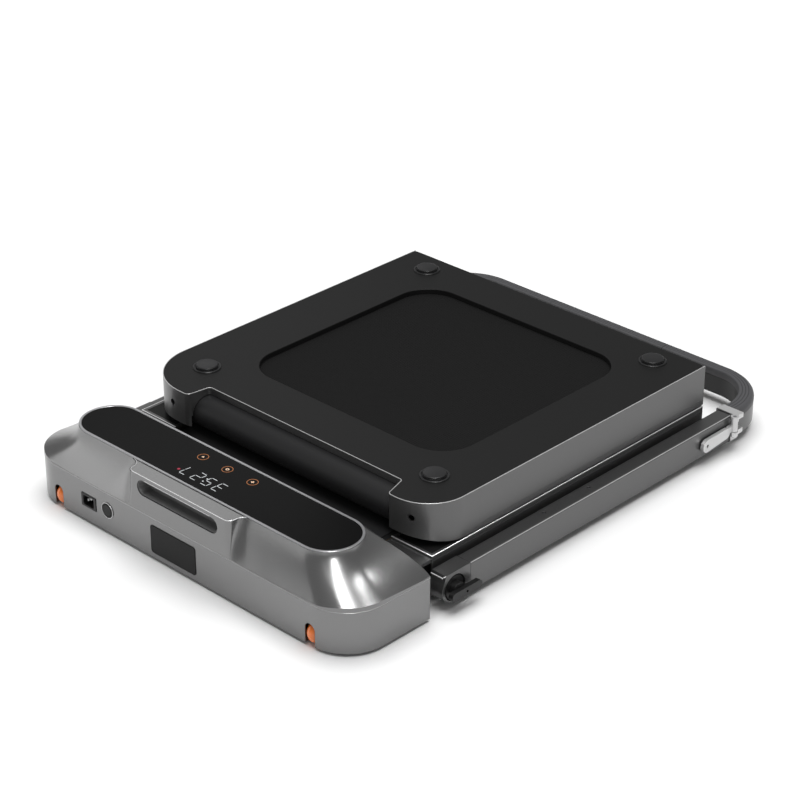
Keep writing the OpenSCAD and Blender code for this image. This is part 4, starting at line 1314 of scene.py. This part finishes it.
@dataclass
class Decks:
    """Both deck sections with their rails, covers, boards and belts."""

    wide_face: float = 0.9
    cap_angle: float = 40.0

    def board(self, node: str, body: Body) -> None:
        """Dresses a board: film on its wide faces, raw fibre on its edges.

        Args:
            node: The board's node.
            body: The body it rides on.
        """
        piece = node_copy(node, FIBREBOARD)
        piece.data.materials.append(PHENOLIC_FILM.material())
        for face in piece.data.polygons:
            face.material_index = int(abs(face.normal.z) > self.wide_face)
        hand_over(piece, body, "board_wood", node)

    def build(self) -> None:
        """Dresses every node of the decks."""
        for node in ("rear_rails", "rear_foot_rails"):
            rounded_node(node, SIDE_POWDER_COAT, Body.REAR, "graphite_paint", 0.3)
        rounded_node("end_caps", SIDE_POWDER_COAT, Body.REAR, "graphite_paint", 0.3, angle=self.cap_angle)
        for node in ("front_rails", "front_foot_rails"):
            rounded_node(node, FLAKE_POWDER_COAT, Body.BASE, "graphite_paint", 0.5)
        for section, body in (("front", Body.BASE), ("rear", Body.REAR)):
            rounded_node(f"{section}_cover", GRAINED_ABS, body, "cover_plastic", 0.9, steps=3)
            rounded_node(f"{section}_foot_pads", GRAINED_ABS, body, "pad_rubber", 0.3)
            rounded_node(f"{section}_belt", PVC_BELT, body, "belt_rubber", 0.4)
            self.board(f"{section}_board", body)


@dataclass
class OpeningMesh:
    """The woven panel in a section's opening, with raised threads both ways."""

    node: str
    body: Body
    facing: int
    width: float = 427.0
    length: float = 416.0
    corner: float = 60.0
    centre_x: float = 7.0
    centre_depth: float = 530.5
    pitch: float = 4.0
    thread: float = 2.2
    height: float = 0.4
    long_lift: float = 0.4
    cross_lift: float = 0.2

    def tree(self) -> bpy.types.NodeTree:
        """The node tree that lays threads of the right length across a rounded opening.

        Returns:
            The tree.
        """
        known = bpy.data.node_groups.get("opening_threads")
        if known:
            return known
        group = new_tree("opening_threads", "Width", "Length", "Corner", "Pitch", "Thread", "Height")
        given = add_node(group, "NodeGroupInput").outputs

        def reckon(kind: str, first: object, second: object = 0.0) -> bpy.types.NodeSocket:
            """Adds one arithmetic node and gives its result."""
            return add_node(group, "ShaderNodeMath", {0: first, 1: second}, operation=kind).outputs[0]

        def triple(x: object, y: object = 0.0, z: object = 0.0) -> bpy.types.NodeSocket:
            """Puts three numbers together."""
            return add_node(group, "ShaderNodeCombineXYZ", {0: x, 1: y, 2: z}).outputs[0]

        def inside(size: str) -> bpy.types.NodeSocket:
            """Half a side of the opening, less the corner."""
            return reckon("SUBTRACT", reckon("MULTIPLY", given[size], 0.5), given["Corner"])

        count = reckon("FLOOR", reckon("DIVIDE", given["Width"], given["Pitch"]))
        start = reckon("MULTIPLY", reckon("MULTIPLY", reckon("SUBTRACT", count, 1.0), given["Pitch"]), -0.5)
        row = add_node(group, "GeometryNodeMeshLine",
                       {"Count": count, "Start Location": triple(start), "Offset": triple(given["Pitch"])})
        place = add_node(group, "GeometryNodeInputPosition")
        across = add_node(group, "ShaderNodeSeparateXYZ", {0: place.outputs[0]}).outputs[0]
        past = reckon("MAXIMUM", reckon("SUBTRACT", reckon("ABSOLUTE", across), inside("Width")), 0.0)
        square = reckon("SUBTRACT", reckon("MULTIPLY", given["Corner"], given["Corner"]),
                        reckon("MULTIPLY", past, past))
        bow = reckon("SQRT", reckon("MAXIMUM", square, 0.0))
        reach = reckon("MULTIPLY", reckon("ADD", inside("Length"), bow), 2.0)
        cube = add_node(group, "GeometryNodeMeshCube", {"Size": (1.0, 1.0, 1.0)})
        end_tree(group, given["Surface"], Points=row.outputs["Mesh"], Instance=cube.outputs["Mesh"],
                 Scale=triple(given["Thread"], reach, given["Height"]))
        return group

    def threads(self, name: str, width: float, length: float, turned: bool, z: float) -> None:
        """Lays one layer of threads.

        Args:
            name: The piece's name.
            width: Room across the threads in mm.
            length: Room along the threads in mm.
            turned: Whether they run across the pad.
            z: Height of their middle in mm.
        """
        turn = Matrix.Rotation(math.pi / 2 if turned else 0.0, 4, "Z")
        shift = Matrix.Translation(row_point(self.centre_x, self.centre_depth, z))
        values = {"Width": width * MM, "Length": length * MM, "Corner": self.corner * MM,
                  "Pitch": self.pitch * MM, "Thread": self.thread * MM, "Height": self.height * MM,
                  "Surface": WOVEN_MESH.material()}
        piece = grow_piece(name, self.tree(), shift @ turn, values)
        hand_over(piece, self.body, "cover_plastic")

    def build(self) -> None:
        """Builds the panel and both layers of threads."""
        rounded_node(self.node, WOVEN_MESH, self.body, "cover_plastic", 0.2)
        low, high = node_box(self.node)
        face, lift = (high if self.facing > 0 else low).z, self.facing * self.height
        for layer, room, turned, share in (("long", (self.width, self.length), False, self.long_lift),
                                           ("cross", (self.length, self.width), True, self.cross_lift)):
            self.threads(f"{self.node}_{layer}_threads", *room, turned, face + lift * share)


@dataclass
class Feet:
    """Round rubber feet with a flange, repeated at a section's corners."""

    node: str
    body: Body
    facing: int
    flange: float = 22.3
    cap: float = 17.6
    height: float = 6.0
    spread_x: float = 242.0
    near: float = 279.0
    far: float = 775.0
    turn_steps: int = 56

    def profile(self) -> list[Flat]:
        """Outlines half a foot, from the cover outwards.

        Returns:
            Pairs of radius and height.
        """
        flange, cap, top = self.flange, self.cap, self.height
        return [(0.0, 0.0), (flange, 0.0), (flange, 1.2), (flange - 0.7, 2.0), (flange - 1.9, 2.2),
                (flange - 3.0, 1.8), (cap + 1.3, 0.6), (cap + 0.3, 0.6), (cap, 1.0), (cap, 2.6),
                (cap - 0.6, 2.9), (cap - 0.6, 3.5), (cap - 0.1, 3.8), (cap - 0.1, top - 0.9),
                (cap - 0.7, top - 0.3), (cap - 2.0, top), (0.0, top)]

    def tree(self) -> bpy.types.NodeTree:
        """The node tree that stands a foot at each corner.

        Returns:
            The tree.
        """
        known = bpy.data.node_groups.get("feet_at_corners")
        if known:
            return known
        group = new_tree("feet_at_corners", "Across", "Along", "Foot")
        given = add_node(group, "NodeGroupInput").outputs
        corners = add_node(group, "GeometryNodeMeshGrid",
                           {"Size X": given["Across"], "Size Y": given["Along"],
                            "Vertices X": 2, "Vertices Y": 2})
        foot = add_node(group, "GeometryNodeObjectInfo", {"Object": given["Foot"]})
        end_tree(group, given["Surface"], Points=corners.outputs["Mesh"], Instance=foot.outputs["Geometry"])
        return group

    def build(self) -> None:
        """Builds the four feet."""
        foot = lathe("foot_pattern", self.profile(), (0.0, -HEAD_FRONT, 0.0), (0, 0, 1), self.turn_steps)
        low, high = node_box(self.node)
        up = self.facing > 0
        turn = Matrix.Rotation(0.0 if up else math.pi, 4, "X")
        shift = Matrix.Translation(row_point(0.0, (self.near + self.far) / 2, (low if up else high).z))
        values = {"Across": 2 * self.spread_x * MM, "Along": (self.far - self.near) * MM, "Foot": foot,
                  "Surface": MOULDED_RUBBER.material()}
        piece = grow_piece(f"{self.node}_turned", self.tree(), shift @ turn, values)
        bpy.data.objects.remove(foot)
        shade(piece.data, FOOT_SHARP)
        hand_over(piece, self.body, "pad_rubber", self.node)


# The handrail


@dataclass
class HandleBow:
    """The handle's bow: its coated bar and the rubber grips swept round its corners."""

    outer_x: float = 344.8
    inner_x: float = 317.5
    start: float = 868.4
    corner: float = 100.0
    rear: float = 977.5
    bar_front: float = 956.0
    low: float = 48.0
    high: float = 60.5
    seam_x: float = 122.0
    seam_gap: float = 0.7
    grooves: Point = (0.34, 0.54, 0.74)
    groove_half: float = 0.03
    arm_steps: int = 3
    corner_steps: int = 32
    bar_steps: int = 8
    # Faces turned inward past this share get black as painted shade.
    painted_shade_facing: float = -0.2

    def path(self) -> list[tuple[Flat, Flat]]:
        """Follows the right half, from the arm's end to the middle.

        Returns:
            Pairs of outer and inner points.
        """
        centre = Vector((self.outer_x - self.corner, self.rear - self.corner))
        reach = Vector((self.inner_x, self.bar_front)) - centre
        arm = [self.start + (centre.y - self.start) * i / self.arm_steps for i in range(self.arm_steps)]
        pairs = [((self.outer_x, y), (self.inner_x, y)) for y in arm]
        for a in (math.pi / 2 * i / self.corner_steps for i in range(self.corner_steps + 1)):
            pairs.append(((centre.x + self.corner * math.cos(a), centre.y + self.corner * math.sin(a)),
                          (centre.x + reach.x * math.cos(a), centre.y + reach.y * math.sin(a))))
        steps = self.bar_steps
        bar = [centre.x + (self.seam_x - centre.x) * i / steps for i in range(1, steps + 1)]
        return pairs + [((x, self.rear), (x, self.bar_front)) for x in bar]

    def section(self) -> list[Flat]:
        """The grip's section, with three grooves in the top.

        Returns:
            Pairs of share across the grip and height.
        """
        low, high, half = self.low, self.high, self.groove_half
        points = [(0.0, low), (0.0, high - 6.5), (0.03, high - 4.2), (0.09, high - 2.0),
                  (0.18, high - 0.5), (0.25, high)]
        for groove in self.grooves:
            points += [(groove - half, high), (groove, high - 1.0), (groove + half, high)]
        return points + [(0.88, high - 0.2), (0.95, high - 1.2), (1.0, high - 3.2), (1.0, low)]

    def sweep(self, name: str, pairs: Sequence[tuple[Flat, Flat]], *nodes: str) -> None:
        """Sweeps the section along a path.

        Args:
            name: The piece's name.
            pairs: Outer and inner points of the path.
            nodes: Nodes the piece replaces.
        """
        rings = [[(outer[0] + (inner[0] - outer[0]) * share, outer[1] + (inner[1] - outer[1]) * share, z)
                  for share, z in self.section()] for outer, inner in pairs]
        dress(mesh_piece(name, capped(rings), SWEPT_SHARP), GRIP_RUBBER, Body.HANDLE, "pad_rubber", *nodes)

    def bar(self) -> None:
        """The bow's bar: coated outside, with painted shade in black on its inward faces."""
        piece = node_copy("handle_frame", FLAKE_POWDER_COAT)
        # Painted shade: the bar's inward faces get the black finish, standing in for the shade inside the
        # bow.
        piece.data.materials.append(BLACK_ABS_AND_PAINTED_SHADE.material())
        middle = row_point(0.0, self.start, self.low)
        for face in piece.data.polygons:
            outward = face.center - middle
            outward.z = 0.0
            face.material_index = int(face.normal.dot(outward.normalized()) < self.painted_shade_facing)
        round_edges(piece, 0.6)
        hand_over(piece, Body.HANDLE, "tube_alloy", "handle_frame")

    def build(self) -> None:
        """Builds the three grips, the bar and the tubes."""
        right, edge = self.path(), self.seam_x - self.seam_gap
        self.sweep("grip_right", right)
        self.sweep("grip_left", [((-o[0], o[1]), (-i[0], i[1])) for o, i in right])
        self.sweep("grip_middle", [((x, self.rear), (x, self.bar_front)) for x in (edge, 0.0, -edge)],
                   "handle_grips")
        self.bar()
        rounded_node("inner_tubes", ZINC_STEEL, Body.HANDLE, "tube_alloy", 0.4)


@dataclass
class Handrail:
    """Posts, housings, knobs and clamps."""

    post_top: float = 58.9
    post_outer: float = 344.8
    post_inner: float = 318.0
    edge_in: float = 0.9
    seam_in: float = 0.1
    seam_drop: float = 22.0
    seam_room: float = 0.8
    nose_start: float = 4.0

    def edges(self) -> None:
        """Painted highlights along the posts and round the housings, and the dark seams between them."""
        seam, rear = (corner.y for corner in node_box("posts"))
        front = node_box("housings")[0].y + self.edge_in
        z, top = self.post_top - self.edge_in, self.post_top - self.seam_in
        for side in Side:
            s, name = side.value, side.name.lower()
            x, inner = s * (self.post_outer - self.edge_in), s * self.post_inner
            face = s * (self.post_outer - self.seam_in)
            # Painted highlights: pale beads along the posts' and the housings' top outer edges and across
            # the housings' nose.
            lines = (("post_edge", [(x, seam + self.seam_room, z), (x, rear, z)], 0.7, SECTION_HIGHLIGHT),
                     ("housing_edge", [(x, front + 2, z), (x, seam - self.seam_room, z)], 0.8, EDGE_HIGHLIGHT),
                     ("housing_bright_nose", [(inner + s * self.nose_start, front, z), (x, front, z)], 0.9,
                      EDGE_HIGHLIGHT),
                     ("housing_seam", [(inner, seam, top), (x, seam, top), (face, seam, z),
                                       (face, seam, z - self.seam_drop)], 0.35, BLACK_ABS_AND_PAINTED_SHADE))
            for label, path, radius, finish in lines:
                bead(f"{label}_{name}", path, radius, finish, Body.HANDRAIL, "graphite_paint")

    def build(self) -> None:
        """Dresses every node of the handrail."""
        rounded_node("posts", FLAKE_POWDER_COAT, Body.HANDRAIL, "graphite_paint", 0.3)
        self.edges()
        rounded_node("housings", FLAKE_POWDER_COAT, Body.HANDRAIL, "graphite_paint", 1.2, steps=3)
        rounded_node("post_gaskets", MOULDED_RUBBER, Body.HANDRAIL, "pad_rubber", 0.3)
        rounded_node("collars", PALE_CASTING, Body.HANDRAIL, "silver_cast", 0.6)
        rounded_node("clamp_pins", ZINC_STEEL, Body.HANDRAIL, "zinc_steel", 0.3)
        for side in Side:
            name = side.name.lower()
            rounded_node(f"lever_{name}", PALE_CASTING, Body[f"LEVER_{side.name}"], "silver_cast", 0.9)
            rounded_node(f"knob_{name}", BLACK_ABS_AND_PAINTED_SHADE, Body[f"KNOB_{side.name}"], "dark_plastic", 1.2, steps=3)


# What lies inside


PLAIN_NODES = {
    SOLDER_MASK: ("display_board", "control_board"),
    BLACK_ENAMEL: ("motor",),
    MOULDED_RUBBER: ("drive_belt",),
    FLAKE_POWDER_COAT: ("frame_plates",),
    ZINC_STEEL: ("wheel_brackets", "motor_cradle", "motor_pulley", "drive_roller", "drive_axle",
                 "front_members", "rear_members", "tail_roller", "tail_axle", "tension_bolts",
                 "hinge_front", "hinge_link", "hinge_rear", "pivot_brackets"),
}


def dress_plain_nodes() -> None:
    """Gives the inner parts their finishes."""
    for finish, nodes in PLAIN_NODES.items():
        for node in nodes:
            paint(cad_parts[node], finish)


def main() -> None:
    """Builds everything in order."""
    logging.basicConfig(level=logging.INFO)
    Studio().build()
    Head(HoodShape()).build()
    Display().build()
    Label().build()
    for side in Side:
        TransportWheel(side).build()
    Decks().build()
    SectionEdgeHighlight().build()
    FootRailHighlights().build()
    OpeningMesh("rear_mesh", Body.REAR, 1).build()
    OpeningMesh("front_mesh", Body.BASE, -1).build()
    Feet("feet_rear", Body.REAR, 1).build()
    Feet("feet_front", Body.BASE, -1).build()
    HandleBow().build()
    Handrail().build()
    dress_plain_nodes()


if __name__ == "__main__":
    main()
